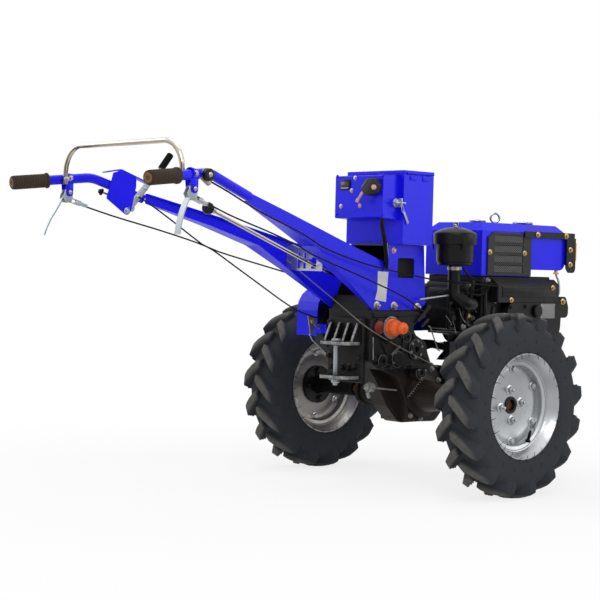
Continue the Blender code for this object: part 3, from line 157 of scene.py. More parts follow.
def arc(before, here, after, radius, steps):
    """Points of the arc that rounds the corner here between its two neighbours."""
    back, on = (before - here).normalized(), (after - here).normalized()
    half = back.angle(on) / 2
    centre = here + (back + on).normalized() * radius / math.sin(half)
    start = (here + back * radius / math.tan(half) - centre).normalized()
    end = (here + on * radius / math.tan(half) - centre).normalized()
    return [centre + start.slerp(end, step / steps) * radius for step in range(steps + 1)]


def rounded(corners, steps=4):
    """An outline whose corners (a, b, radius) are turned into arcs."""
    places = [Vector(corner[:2]) for corner in corners]
    outline = []
    for index, here in enumerate(places):
        radius = corners[index][2]
        after = places[(index + 1) % len(places)]
        outline += arc(places[index - 1], here, after, radius, steps) if radius > 0 else [here]
    return outline


def bolt(place, direction, across=0.012, height=0.007, washer=True, sides=6, roll=0.0, sink=0.001):
    """A hexagon head with its chamfer, standing on a washer."""
    radius = across / 2 / math.cos(math.pi / 6)
    thin = across * 0.12
    disc = [(0, -sink), (across * 0.86, -sink), (across * 0.86, thin * 0.7), (across * 0.80, thin),
            (0, thin)]
    bm = turned(disc, segments=20) if washer else bmesh.new()
    head = bmesh.new()
    bmesh.ops.create_cone(head, cap_ends=True, segments=sides, radius1=radius, radius2=radius,
                          depth=height + sink)
    tops = [e for e in head.edges if all(v.co.z > 0 for v in e.verts)]
    soften(head, tops, across * 0.10, 1)
    bmesh.ops.translate(head, vec=(0, 0, (height - sink) / 2 + (thin if washer else 0)), verts=head.verts)
    return aimed(join(bm, head), place, direction, roll)


def wire_ring(radius, wire, sides, place, direction, segments):
    """A closed ring of round wire."""
    angles = [2 * math.pi * index / sides for index in range(sides + 1)]
    return turned([(radius + wire * math.cos(a), wire * math.sin(a)) for a in angles], place, direction,
                  segments)


def foot_of(node):
    """The middle of the underside of a solid's box."""
    low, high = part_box(node)
    middle = (low + high) / 2 - MACHINE
    return Vector((middle.x, middle.y, low.z))


def dome(place, direction, radius=0.005, height=0.003):
    """A rounded screw head."""
    profile = [(0, -0.001), (radius, -0.001), (radius, height * 0.3)]
    profile += [(radius * math.cos(a), height * (0.3 + 0.7 * math.sin(a))) for a in (0.5, 1.0, 1.35)]
    return turned(profile + [(0, height)], place, direction, 16)


def smooth_route(points, spacing=0.008):
    """Points at even spacing along a smooth curve through the route's own points."""
    points = [Vector(p) for p in points]
    ends = [points[0] * 2 - points[1]] + points + [points[-1] * 2 - points[-2]]
    fine = []
    for p0, p1, p2, p3 in zip(ends, ends[1:], ends[2:], ends[3:]):
        for step in range(20):
            t = step / 20
            fine.append(0.5 * ((2 * p1) + (p2 - p0) * t + (2 * p0 - 5 * p1 + 4 * p2 - p3) * t ** 2
                               + (3 * p1 - p0 - 3 * p2 + p3) * t ** 3))
    fine.append(points[-1])
    length = sum((b - a).length for a, b in zip(fine, fine[1:]))
    count = max(3, round(length / spacing))
    route, walked, wanted = [fine[0]], 0.0, 1
    for a, b in zip(fine, fine[1:]):
        step = (b - a).length
        while wanted < count and walked + step >= wanted * length / count:
            route.append(a.lerp(b, (wanted * length / count - walked) / step))
            wanted += 1
        walked += step
    return route + [fine[-1]]


def bent_route(corners, bend, steps=8):
    """A route in space whose inner corners are turned into arcs."""
    points = [Vector(p) for p in corners]
    route = [points[0]]
    for before, here, after in zip(points, points[1:], points[2:]):
        route += arc(before, here, after, bend, steps)
    return route + [points[-1]]


def tube(name, route, radius, look, body="chassis", resolution=4, replaces=()):
    """A round tube, rod or cable along a route, closed at its ends."""
    curve = bpy.data.curves.new(name, "CURVE")
    curve.dimensions = "3D"
    curve.bevel_depth = radius
    curve.bevel_resolution = resolution
    curve.use_fill_caps = True
    spline = curve.splines.new("POLY")
    spline.points.add(len(route) - 1)
    for point, place in zip(spline.points, route):
        point.co = (*(Vector(place) + MACHINE), 1.0)
    spline.use_smooth = True
    made = bpy.data.objects.new(name, curve)
    curve.materials.append(finish(look))
    bpy.context.scene.collection.objects.link(made)
    return dressed(made, body, replaces)


def dressed(made, body, replaces):
    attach(made, body)
    if replaces:
        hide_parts(*replaces)
    return made


def solid(name, parts, look, body="chassis", smooth=35, replaces=(), offset=None):
    """A finished piece of one or more shapes, whose place is in its mesh, riding on a body."""
    bm = gathered(parts) if isinstance(parts, list) else parts
    bmesh.ops.translate(bm, vec=MACHINE if offset is None else offset, verts=bm.verts)
    bmesh.ops.remove_doubles(bm, verts=bm.verts, dist=1e-7)
    bmesh.ops.recalc_face_normals(bm, faces=bm.faces)
    mesh = bpy.data.meshes.new(name)
    bm.to_mesh(mesh)
    bm.free()
    mesh.shade_smooth()
    mesh.set_sharp_from_angle(angle=math.radians(smooth))
    mesh.materials.append(finish(look))
    made = bpy.data.objects.new(name, mesh)
    bpy.context.scene.collection.objects.link(made)
    return dressed(made, body, replaces)


def gathered(parts):
    bm = bmesh.new()
    for part in parts:
        join(bm, part)
    return bm


# Shader groups and finishes

def new_group(name, inputs, outputs):
    tree = bpy.data.node_groups.new(name, "ShaderNodeTree")
    kinds = {"value": "NodeSocketFloat", "colour": "NodeSocketColor", "vector": "NodeSocketVector"}
    for label, kind, default in inputs:
        socket = tree.interface.new_socket(label, in_out="INPUT", socket_type=kinds[kind])
        if default is not None:
            socket.default_value = default
    for label, kind in outputs:
        tree.interface.new_socket(label, in_out="OUTPUT", socket_type=kinds[kind])
    return tree, tree.nodes.new("NodeGroupInput"), tree.nodes.new("NodeGroupOutput")


def math_node(tree, operation, first, second=None, clamp=False):
    node = tree.nodes.new("ShaderNodeMath")
    node.operation = operation
    node.use_clamp = clamp
    for socket, value in zip(node.inputs, (first, second)):
        if value is None:
            continue
        if isinstance(value, (int, float)):
            socket.default_value = value
        else:
            tree.links.new(value, socket)
    return node.outputs[0]


def mix_colour(tree, factor, first, second, blend="MIX"):
    node = tree.nodes.new("ShaderNodeMix")
    node.data_type = "RGBA"
    node.blend_type = blend
    for socket, value in ((node.inputs[0], factor), (node.inputs[6], first), (node.inputs[7], second)):
        if isinstance(value, (int, float)):
            socket.default_value = value
        elif isinstance(value, tuple):
            socket.default_value = (*value, 1.0)[:4]
        else:
            tree.links.new(value, socket)
    return node.outputs[2]


def ranged(tree, value, low, high, to_low=0.0, to_high=1.0):
    node = tree.nodes.new("ShaderNodeMapRange")
    tree.links.new(value, node.inputs[0])
    for socket, number in zip(node.inputs[1:5], (low, high, to_low, to_high)):
        socket.default_value = number
    return node.outputs[0]


def noise(tree, vector, scale, detail=3.0, roughness=0.55):
    node = tree.nodes.new("ShaderNodeTexNoise")
    tree.links.new(vector, node.inputs["Vector"])
    if isinstance(scale, (int, float)):
        node.inputs["Scale"].default_value = scale
    else:
        tree.links.new(scale, node.inputs["Scale"])
    node.inputs["Detail"].default_value = detail
    node.inputs["Roughness"].default_value = roughness
    return node.outputs["Fac"]


def weathering_group():
    """Patches of dust over a colour, a little unevenness in it, and fine grain for the surface."""
    tree, start, end = new_group(
        "weathering",
        [("Vector", "vector", None), ("Colour", "colour", None), ("Dust Colour", "colour", None),
         ("Dust", "value", 0.2), ("Patch Scale", "value", 8.0), ("Grain Scale", "value", 300.0),
         ("Roughness", "value", 0.4), ("Roughness Change", "value", 0.1)],
        [("Colour", "colour"), ("Roughness", "value"), ("Height", "value")])
    vector = start.outputs["Vector"]
    patches = noise(tree, vector, start.outputs["Patch Scale"], 4.0, 0.62)
    grain = noise(tree, vector, start.outputs["Grain Scale"], 2.0)
    share = math_node(tree, "MULTIPLY", ranged(tree, patches, 0.38, 0.72), start.outputs["Dust"], True)
    dusty = mix_colour(tree, share, start.outputs["Colour"], start.outputs["Dust Colour"])
    uneven = ranged(tree, patches, 0.3, 0.7, 0.90, 1.08)
    shade = tree.nodes.new("ShaderNodeCombineColor")
    for socket in shade.inputs[:3]:
        tree.links.new(uneven, socket)
    tree.links.new(mix_colour(tree, 1.0, dusty, shade.outputs[0], "MULTIPLY"), end.inputs["Colour"])
    change = math_node(tree, "MULTIPLY", math_node(tree, "SUBTRACT", patches, 0.5),
                       start.outputs["Roughness Change"])
    duller = math_node(tree, "MULTIPLY", share, 0.35)
    total = math_node(tree, "ADD", math_node(tree, "ADD", start.outputs["Roughness"], change), duller, True)
    tree.links.new(total, end.inputs["Roughness"])
    tree.links.new(grain, end.inputs["Height"])
    return tree


def painted_reflection_group():
    """Paints a reflection on bright metal: the share of a darker colour where it faces the ground or the
    horizon, in streaks that follow its sideways facing.
    """
    tree, start, end = new_group("metal_bands", [("Normal", "vector", None)], [("Share", "value")])
    split = tree.nodes.new("ShaderNodeSeparateXYZ")
    tree.links.new(start.outputs["Normal"], split.inputs[0])
    level = math_node(tree, "MULTIPLY", ranged(tree, split.outputs[2], 0.34, 0.10),
                      ranged(tree, split.outputs[2], -0.80, -0.35, 0.25, 1.0))
    wave = math_node(tree, "SINE", math_node(tree, "MULTIPLY", split.outputs[0], 4.4))
    stripes = ranged(tree, math_node(tree, "MULTIPLY", wave, wave), 0.0, 1.0, 1.0, 0.35)
    total = math_node(tree, "MULTIPLY", level, stripes)
    tree.links.new(total, end.inputs["Share"])
    return tree


def edges_group():
    """Rounds sharp edges in the shading, and finds where they are."""
    tree, start, end = new_group("worn_edges", [("Radius", "value", 0.001)],
                                 [("Normal", "vector"), ("Edge", "value")])
    bevel = tree.nodes.new("ShaderNodeBevel")
    bevel.samples = 4
    tree.links.new(start.outputs["Radius"], bevel.inputs["Radius"])
    geometry = tree.nodes.new("ShaderNodeNewGeometry")
    dot = tree.nodes.new("ShaderNodeVectorMath")
    dot.operation = "DOT_PRODUCT"
    tree.links.new(bevel.outputs["Normal"], dot.inputs[0])
    tree.links.new(geometry.outputs["Normal"], dot.inputs[1])
    tree.links.new(bevel.outputs["Normal"], end.inputs["Normal"])
    tree.links.new(ranged(tree, dot.outputs["Value"], 0.98, 0.75), end.inputs["Edge"])
    return tree


def group_node(tree, group, **values):
    node = tree.nodes.new("ShaderNodeGroup")
    node.node_tree = group
    for name, value in values.items():
        socket = node.inputs[name.rstrip("_").replace("_", " ")]
        if isinstance(value, bpy.types.NodeSocket):
            tree.links.new(value, socket)
        elif isinstance(value, (int, float)):
            socket.default_value = value
        else:
            socket.default_value = (*value, 1.0)[:4]
    return node


def new_finish(name, colour, rough, metal=0.0, dust=(0.11, 0.09, 0.07), dust_share=0.2, patch=9.0,
               grain=420.0, bump=0.05, change=0.15, edge=None, edge_share=0.0, coat=0.0, radius=0.0008,
               distance=0.0006, shine=0.22, band=None, reflection_share=0.75):
    """A painted, plated or moulded finish with dust, grain and softened edges, and on bright metal a painted
    reflection in the band colour.
    """
    made = bpy.data.materials.new(LOOK + name)
    made.use_nodes = True
    made.diffuse_color = (*colour, 1.0)
    tree = made.node_tree
    surface = tree.nodes["Principled BSDF"]
    coords = tree.nodes.new("ShaderNodeTexCoord").outputs["Object"]
    worn = group_node(tree, bpy.data.node_groups["weathering"], Vector=coords, Colour=colour,
                      Dust_Colour=dust, Dust=dust_share, Patch_Scale=patch, Grain_Scale=grain,
                      Roughness=rough, Roughness_Change=change)
    edges = group_node(tree, bpy.data.node_groups["worn_edges"], Radius=radius)
    shown = worn.outputs["Colour"]
    # edge: a colour laid on sharp edges, lighter on the black finishes and darker on the blue paint
    if edge is not None:
        share = math_node(tree, "MULTIPLY", edges.outputs["Edge"], edge_share, True)
        shown = mix_colour(tree, share, shown, edge)
    tree.links.new(shown, surface.inputs["Base Color"])
    tree.links.new(worn.outputs["Roughness"], surface.inputs["Roughness"])
    # band: colour of a painted reflection, mixed in where bright metal faces the ground or the horizon
    if band is not None:
        geometry = tree.nodes.new("ShaderNodeNewGeometry")
        reflection_shade = group_node(tree, bpy.data.node_groups["metal_bands"], Normal=geometry.outputs["Normal"])
        share = math_node(tree, "MULTIPLY", reflection_shade.outputs["Share"], reflection_share, True)
        shown = mix_colour(tree, share, shown, band)
        tree.links.new(shown, surface.inputs["Base Color"])
    surface.inputs["Metallic"].default_value = metal
    surface.inputs["Specular IOR Level"].default_value = 0.5 if metal > 0.5 else shine
    surface.inputs["Coat Weight"].default_value = coat
    surface.inputs["Coat Roughness"].default_value = 0.08
    grain_bump = tree.nodes.new("ShaderNodeBump")
    grain_bump.inputs["Strength"].default_value = bump
    grain_bump.inputs["Distance"].default_value = distance
    tree.links.new(worn.outputs["Height"], grain_bump.inputs["Height"])
    tree.links.new(edges.outputs["Normal"], grain_bump.inputs["Normal"])
    tree.links.new(grain_bump.outputs["Normal"], surface.inputs["Normal"])
    return made


def zone_group():
    """The share of a colour between two levels of one coordinate."""
    tree, start, end = new_group("zone", [("Level", "value", 0.0), ("Full", "value", 0.0),
                                          ("None", "value", 1.0)], [("Share", "value")])
    node = tree.nodes.new("ShaderNodeMapRange")
    for socket, label in ((0, "Level"), (1, "None"), (2, "Full")):
        tree.links.new(start.outputs[label], node.inputs[socket])
    tree.links.new(node.outputs[0], end.inputs["Share"])
    return tree


def placed_colour(name, base_name, colour, zones):
    """A finish with a second colour where every zone (axis, full, none) of the object's place holds."""
    made = finish(base_name).copy()
    made.name = LOOK + name
    tree = made.node_tree
    surface = tree.nodes["Principled BSDF"]
    split = tree.nodes.new("ShaderNodeSeparateXYZ")
    tree.links.new(tree.nodes.new("ShaderNodeTexCoord").outputs["Object"], split.inputs[0])
    share = None
    for axis, full, none in zones:
        level = split.outputs[abs(axis) - 1]
        if axis < 0:
            level = math_node(tree, "ABSOLUTE", level)
        found = group_node(tree, bpy.data.node_groups["zone"], Level=level, Full=full,
                           None_=none).outputs["Share"]
        share = found if share is None else math_node(tree, "MULTIPLY", share, found)
    below = surface.inputs["Base Color"].links[0].from_socket
    tree.links.new(mix_colour(tree, share, below, colour), surface.inputs["Base Color"])
    return made


def rubber_finish(name, colours):
    """Tyre rubber: dark walls with moulded rings, and lugs greyed by use at their tops."""
    made = new_finish(name, colours.rubber, 0.72, dust=tuple(colours.mud), dust_share=0.20, patch=7.0,
                      grain=700.0, bump=0.25, change=0.2, radius=0.001, distance=0.0008, shine=0.10)
    tree = made.node_tree
    surface = tree.nodes["Principled BSDF"]
    coords = tree.nodes.new("ShaderNodeTexCoord").outputs["Object"]
    centred = tree.nodes.new("ShaderNodeMapping")
    centred.inputs["Location"].default_value = (-AXLE_X, 0, -AXLE_Z)
    tree.links.new(coords, centred.inputs["Vector"])
    split = tree.nodes.new("ShaderNodeSeparateXYZ")
    tree.links.new(centred.outputs[0], split.inputs[0])
    squares = math_node(tree, "ADD", math_node(tree, "POWER", split.outputs[0], 2.0),
                        math_node(tree, "POWER", split.outputs[2], 2.0))
    reach = math_node(tree, "SQRT", squares)
    mottled = noise(tree, coords, 60.0, 3.0)
    tops = math_node(tree, "MULTIPLY", ranged(tree, reach, 0.281, 0.291),
                     ranged(tree, mottled, 0.3, 0.7, 0.55, 1.0))
    lower = surface.inputs["Base Color"].links[0].from_socket
    tree.links.new(mix_colour(tree, tops, lower, tuple(colours.lug_top)), surface.inputs["Base Color"])
    rings = math_node(tree, "SINE", math_node(tree, "MULTIPLY", reach, 2100.0))
    wall = math_node(tree, "MULTIPLY", ranged(tree, reach, 0.176, 0.180), ranged(tree, reach, 0.200, 0.196))
    ring_bump = tree.nodes.new("ShaderNodeBump")
    ring_bump.inputs["Strength"].default_value = 0.35
    ring_bump.inputs["Distance"].default_value = 0.0008
    tree.links.new(math_node(tree, "MULTIPLY", rings, wall), ring_bump.inputs["Height"])
    before = surface.inputs["Normal"].links[0].from_socket
    tree.links.new(before, ring_bump.inputs["Normal"])
    tree.links.new(ring_bump.outputs["Normal"], surface.inputs["Normal"])
    return made


FINISH_TABLE = (
    # name, colour property, roughness, metallic, options; the option band is the colour of a painted
    # reflection on bright metal
    ("paint_blue", "paint", 0.30, 0.0, dict(dust_share=0.05, dust=(0.05, 0.06, 0.30), bump=0.03,
                                            grain=260.0, coat=0.02, edge=(0.006, 0.008, 0.16),
                                            edge_share=0.30, shine=0.16)),
    ("paint_black", "black", 0.30, 0.0, dict(dust_share=0.08, edge=(0.08, 0.08, 0.08), edge_share=0.5,
                                             shine=0.14)),
    ("cover_black", "cover", 0.42, 0.0, dict(dust_share=0.15, edge=(0.09, 0.09, 0.09), edge_share=0.5,
                                             shine=0.14)),
    ("cast_black", "cast", 0.42, 0.0, dict(dust_share=0.08, grain=520.0, bump=0.55,
                                           edge=(0.10, 0.095, 0.09), edge_share=0.6, change=0.3, patch=14.0,
                                           shine=0.14)),
    ("cast_brown", "cast_dusty", 0.62, 0.0, dict(dust_share=0.30, grain=480.0, bump=0.6, patch=11.0,
                                                 shine=0.15)),
    ("silver_paint", "silver", 0.27, 0.85, dict(dust=(0.24, 0.235, 0.22), dust_share=0.45, patch=6.0,
                                                grain=600.0, bump=0.015, change=0.35,
                                                band=(0.16, 0.17, 0.18), reflection_share=0.55)),
    # The far wheel's rim: the rim silver made darker and browner, partly dust and partly painted shade.
    ("rim_back", "rim_dusty_shaded", 0.30, 0.8, dict(dust=(0.18, 0.15, 0.13), dust_share=0.5, patch=6.0, bump=0.1,
                                             band=(0.12, 0.11, 0.10), reflection_share=0.4)),
    ("zinc", "zinc", 0.32, 1.0, dict(dust=(0.40, 0.34, 0.22), dust_share=0.45, patch=30.0, bump=0.1,
                                     band=(0.10, 0.09, 0.08))),
    ("zinc_white", "pale_zinc", 0.42, 0.6, dict(dust_share=0.15, patch=30.0, bump=0.1,
                                                band=(0.12, 0.14, 0.16), reflection_share=0.6)),
    ("brass_plate", "brass", 0.30, 1.0, dict(dust_share=0.2, patch=40.0, bump=0.1,
                                             band=(0.16, 0.09, 0.03))),
    ("dull_brass", "dull_brass", 0.45, 0.6, dict(dust_share=0.4, patch=40.0, band=(0.10, 0.08, 0.04),
                                                 reflection_share=0.4)),
    ("chrome", "chrome", 0.12, 1.0, dict(dust=(0.45, 0.38, 0.28), dust_share=0.2, bump=0.01, change=0.08,
                                         band=(0.055, 0.040, 0.028), reflection_share=0.95)),
    ("cap_chrome", "cap", 0.15, 1.0, dict(dust_share=0.1, bump=0.01, band=(0.035, 0.045, 0.065),
                                          reflection_share=0.95)),
    ("grip_rubber", "grip", 0.72, 0.0, dict(dust_share=0.3, dust=(0.11, 0.08, 0.06), bump=0.5, grain=900.0,
                                            shine=0.12)),
    ("grip_end", "grip_end", 0.75, 0.0, dict(dust_share=0.2, bump=0.3)),
    ("orange_cap", "orange", 0.36, 0.0, dict(dust=(0.55, 0.10, 0.03), dust_share=0.3, patch=25.0, bump=0.12,
                                             coat=0.05, shine=0.3)),
    ("amber_lens", "amber", 0.20, 0.0, dict(dust_share=0.05, bump=0.02, coat=0.2, shine=0.4)),
    ("red_paint", "red", 0.40, 0.0, dict(dust_share=0.35, patch=30.0)),
    ("pink_screw", "pink", 0.45, 0.3, dict(dust_share=0.2)),
    ("cable_black", "cable", 0.45, 0.0, dict(dust_share=0.04, patch=20.0, shine=0.08)),
    ("thin_sleeve", "thin_sleeve", 0.55, 0.0, dict(dust_share=0.2, patch=20.0, shine=0.22)),
    ("blank_plate", "label", 0.45, 0.0, dict(dust=(0.45, 0.45, 0.45), dust_share=0.3, patch=25.0)),
    ("glass", "glass", 0.15, 0.0, dict(dust_share=0.1, bump=0.01, shine=0.4)),
    # Iron for rods, springs and bolts; on the hitch's edge strips the same colour is a painted highlight.
    ("worn_iron", "worn", 0.45, 0.5, dict(dust=(0.03, 0.03, 0.03), dust_share=0.8, patch=60.0, bump=0.4)),
    ("mesh_grey", "mesh", 0.45, 0.3, dict(dust_share=0.2)),
    ("rust", "rust", 0.80, 0.2, dict(dust=(0.05, 0.02, 0.01), dust_share=0.7, patch=60.0, bump=0.6)),
    ("dark_core", "core", 0.70, 0.0, dict(dust_share=0.1, shine=0.10)),
    ("belt_rubber", "rubber", 0.62, 0.0, dict(dust_share=0.2, shine=0.15)),
)


def finish(name):
    return bpy.data.materials[LOOK + name]


CAD_FINISHES = {
    "base_blue": ("handle_base",),
    "paint_blue": ("handle_arm_left", "handle_arm_right", "handle_tube_left", "handle_tube_right",
                   "lever_bracket", "battery_box", "battery_lid", "control_panel", "radiator_housing",
                   "fuel_tank", "belt_guard"),
    "cover_black": ("grille_left", "grille_right"),
    "paint_black": ("front_guard", "side_cover", "gear_cover", "front_cover", "air_cleaner", "intake_pipe",
                    "muffler", "engine_frame", "front_stand", "battery", "gear_knob", "battery_switch",
                    "wheel_hub_left", "wheel_hub_right"),
    "case_iron": ("gearbox_case",),
    "cast_black": ("hitch_bracket", "engine_block", "cylinder_head", "flywheel", "clutch_pulley"),
    "silver_paint": ("rim_left", "rim_right", "squeeze_lever_left", "squeeze_lever_right", "gate_plate"),
    "zinc": ("hitch_pin", "clutch_lever"),
    "rust": ("axle_shaft_left", "axle_shaft_right"),
    "chrome": ("grab_bar", "gear_rod", "fuel_cap", "radiator_cap"),
    "grip_rubber": ("grip_left", "grip_right", "clutch_grip"),
    "orange_cap": ("shaft_cap",),
    "amber_lens": ("front_lamp_left", "front_lamp_right"),
    "cable_black": ("steering_cable_left", "steering_cable_right", "clutch_cable"),
    "belt_rubber": ("drive_belts",),
    "tyre_rubber": ("tyre_left", "tyre_right"),
}


def colour_property(label, default):
    return FloatVectorProperty(name=label, description="Colour of the " + label.lower(), subtype="COLOR",
                               size=3, min=0.0, max=1.0, default=default)


class TractorColours(bpy.types.PropertyGroup):
    """Colours of the machine's paints, metals and rubbers."""
    paint: colour_property("Body paint", (0.009, 0.007, 0.80))
    black: colour_property("Black paint", (0.0055, 0.0055, 0.0062))
    cover: colour_property("Side covers", (0.020, 0.020, 0.022))
    cast: colour_property("Cast iron paint", (0.0062, 0.0062, 0.0070))
    cast_dusty: colour_property("Dusty cast iron", (0.019, 0.0145, 0.0115))
    rubber: colour_property("Tyre rubber", (0.033, 0.037, 0.043))
    lug_top: colour_property("Worn lug tops", (0.125, 0.117, 0.106))
    mud: colour_property("Dried dust on the tyres", (0.045, 0.042, 0.039))
    silver: colour_property("Silver rims", (0.56, 0.58, 0.60))
    # Far wheel's disc: darker than the silver rims, partly dust and partly painted shade.
    rim_dusty_shaded: colour_property("Dusty wheel disc", (0.34, 0.33, 0.31))
    zinc: colour_property("Zinc plating", (0.56, 0.54, 0.49))
    pale_zinc: colour_property("Dull zinc fittings", (0.48, 0.52, 0.54))
    brass: colour_property("Yellow plated bolts", (0.72, 0.52, 0.22))
    dull_brass: colour_property("Yellow plated bracket", (0.42, 0.36, 0.20))
    chrome: colour_property("Chromed bar", (0.66, 0.60, 0.50))
    cap: colour_property("Chromed caps", (0.58, 0.61, 0.66))
    grip: colour_property("Handle grips", (0.036, 0.024, 0.018))
    grip_end: colour_property("Worn grip ends", (0.22, 0.12, 0.05))
    orange: colour_property("Shaft cap", (0.88, 0.125, 0.018))
    amber: colour_property("Front lenses", (0.95, 0.32, 0.02))
    # Dark red, the plug's red with painted shade in it.
    red: colour_property("Red plug", (0.16, 0.012, 0.012))
    pink: colour_property("Copper screws", (0.62, 0.36, 0.28))
    cable: colour_property("Cable sleeves", (0.0040, 0.0040, 0.0048))
    thin_sleeve: colour_property("Thin cable", (0.20, 0.18, 0.14))
    # Worn iron colour, also used for the painted edge highlights on the hitch.
    worn: colour_property("Worn iron edges", (0.30, 0.30, 0.29))
    mesh: colour_property("Grille mesh", (0.20, 0.20, 0.20))
    glass: colour_property("Display glass", (0.035, 0.016, 0.020))
    label: colour_property("Bare plates", (0.62, 0.63, 0.62))
    rust: colour_property("Rusty bore", (0.17, 0.055, 0.020))
    core: colour_property("Radiator core", (0.010, 0.010, 0.011))


class TractorSizes(bpy.types.PropertyGroup):
    """Sizes of the fittings."""
    lug_top_width: FloatProperty(name="Lug width", description="Width of a tyre lug at its top",
                                 default=0.029, min=0.010, max=0.050, unit="LENGTH")
    wheel_steps: IntProperty(name="Wheel smoothness", description="Steps round a wheel", default=128,
                             min=64, max=256)
    wheel_bolt: FloatProperty(name="Rim bolts", description="Width of a rim bolt's head across its flats",
                              default=0.017, min=0.010, max=0.024, unit="LENGTH")
    mesh_pitch: FloatProperty(name="Mesh pitch", description="Distance between the wires of a grille's mesh",
                              default=0.0112, min=0.006, max=0.03, unit="LENGTH")
    cable_radius: FloatProperty(name="Cable", description="Radius of the throttle cable's sleeve",
                                default=0.0026, min=0.001, max=0.006, unit="LENGTH")


class TRACTOR_OT_finishes(bpy.types.Operator):
    """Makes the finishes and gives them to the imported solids."""
    bl_idname = "tractor.finishes"
    bl_label = "Paint the solids"

    def execute(self, context):
        colours = context.scene.tractor_colours
        weathering_group()
        edges_group()
        painted_reflection_group()
        for name, colour, rough, metal, options in FINISH_TABLE:
            new_finish(name, tuple(getattr(colours, colour)), rough, metal, **options)
        rubber_finish("tyre_rubber", colours)
        zone_group()
        low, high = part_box("handle_base")
        # Everything on the base except its outer sides and end faces turns near black: painted shade inside
        # its hollow.
        placed_colour("base_blue", "paint_blue", (0.003, 0.003, 0.006, 1.0),
                      ((-2, high.y - 0.0035, high.y - 0.0015), (1, low.x + 0.005, low.x + 0.003),
                       (1, high.x - 0.005, high.x - 0.003)))
        placed_colour("case_iron", "cast_black", tuple(colours.cast_dusty), ((3, 0.36, 0.42),))
        for name, nodes in CAD_FINISHES.items():
            for node in nodes:
                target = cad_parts[node]
                target.data.materials.clear()
                target.data.materials.append(finish(name))
        return {"FINISHED"}


# Wheels

def tyre_body(steps):
    """The closed ring of the tyre's carcass under its lugs."""
    w, root = TYRE_HALF_WIDTH, TYRE_RADIUS - LUG_HEIGHT
    half = ((0.1534, 0.0400), (0.1590, 0.0500), (0.1700, 0.0622), (0.1745, 0.0660), (0.1790, 0.0668),
            (0.1900, 0.0688), (0.2040, 0.0698), (0.2200, w), (0.2340, w), (root - 0.030, w - 0.001),
            (root - 0.018, w - 0.007), (root - 0.007, w - 0.022), (root - 0.002, w * 0.40))
    inner = ((0.1534, 0.030), (0.170, 0.044), (root - 0.040, w - 0.013), (root - 0.015, w * 0.45))
    section = list(half) + [(root, 0.0)] + [(r, -y) for r, y in reversed(half)]
    section += [(r, -y) for r, y in inner] + [(r, y) for r, y in reversed(inner)]
    return turned(section, (0, 0, 0), LEFT, steps)


def ring_point(radius, angle, offset):
    """A place round a wheel's axle, from the axle's middle."""
    return Vector((radius * math.cos(angle), offset, radius * math.sin(angle)))


def bridged(rings):
    """A closed skin over rings of points, joined from one to the next."""
    bm = bmesh.new()
    loops = []
    for ring in rings:
        verts = [bm.verts.new(p) for p in ring]
        loops.append([bm.edges.new((verts[i - 1], verts[i])) for i in range(len(verts))])
    for first, second in zip(loops, loops[1:]):
        bmesh.ops.bridge_loops(bm, edges=first + second)
    for cap in (loops[0], loops[-1]):
        bmesh.ops.contextual_create(bm, geom=cap)
    return bm


# Offset and radius of a lug's top, offset and radius of its foot, widening of the top and of the foot
LUG_STATIONS = ((-0.004, 0.2935, -0.002, 0.268, 0.80, 1.35), (0.010, 0.2958, 0.010, 0.268, 0.95, 1.65),
                (0.030, 0.2955, 0.030, 0.266, 1.00, 1.80), (0.048, 0.2935, 0.046, 0.262, 1.05, 1.90),
                (0.061, 0.2900, 0.057, 0.256, 1.10, 2.00), (0.0705, 0.2835, 0.061, 0.248, 1.15, 2.05),
                (0.0726, 0.2700, 0.066, 0.240, 1.10, 1.80), (0.0720, 0.2500, 0.068, 0.232, 0.95, 1.40))


def lug(column, side, half_top):
    """One slanting lug, from past the tread's middle over the shoulder and down the wall."""
    angle_at = math.radians(360.0 / LUG_COLUMNS) * (column + 0.5)
    rings = []
    for top_y, top_r, foot_y, foot_r, top_wide, foot_wide in LUG_STATIONS:
        share = max(top_y, 0.0) / TYRE_HALF_WIDTH
        middle = angle_at + LUG_SWEEP * share * (0.80 + 0.20 * share)
        wide, base = half_top * top_wide / top_r, half_top * foot_wide / foot_r
        rings.append([ring_point(foot_r, middle - base, side * foot_y),
                      ring_point(top_r, middle - wide, side * top_y),
                      ring_point(top_r, middle + wide, side * top_y),
                      ring_point(foot_r, middle + base, side * foot_y)])
    bm = bridged(rings)
    return soften(bm, [e for e in bm.edges if all(on_crest(v.co) for v in e.verts)], 0.0013)


def on_crest(place):
    """Whether a lug's corner belongs to its top or to the ridge down the wall, whose edges are rounded."""
    reach = math.hypot(place.x, place.z)
    return reach > 0.2695 or (reach > 0.249 and abs(place.y) > 0.0715)


def shoulder_ribs(column, side):
    """The two low ribs beside a lug's shoulder."""
    parts = []
    angle_at = math.radians(360.0 / LUG_COLUMNS) * (column + 0.5) + LUG_SWEEP
    for step, reach in ((1, 0.275), (2, 0.268)):
        angle = angle_at + 0.055 + 0.022 * step
        low, high = ring_point(0.246, angle, side * 0.0700), ring_point(reach, angle - 0.006, side * 0.0640)
        parts.append(rod(low, high, 0.0022, 6))
    return parts


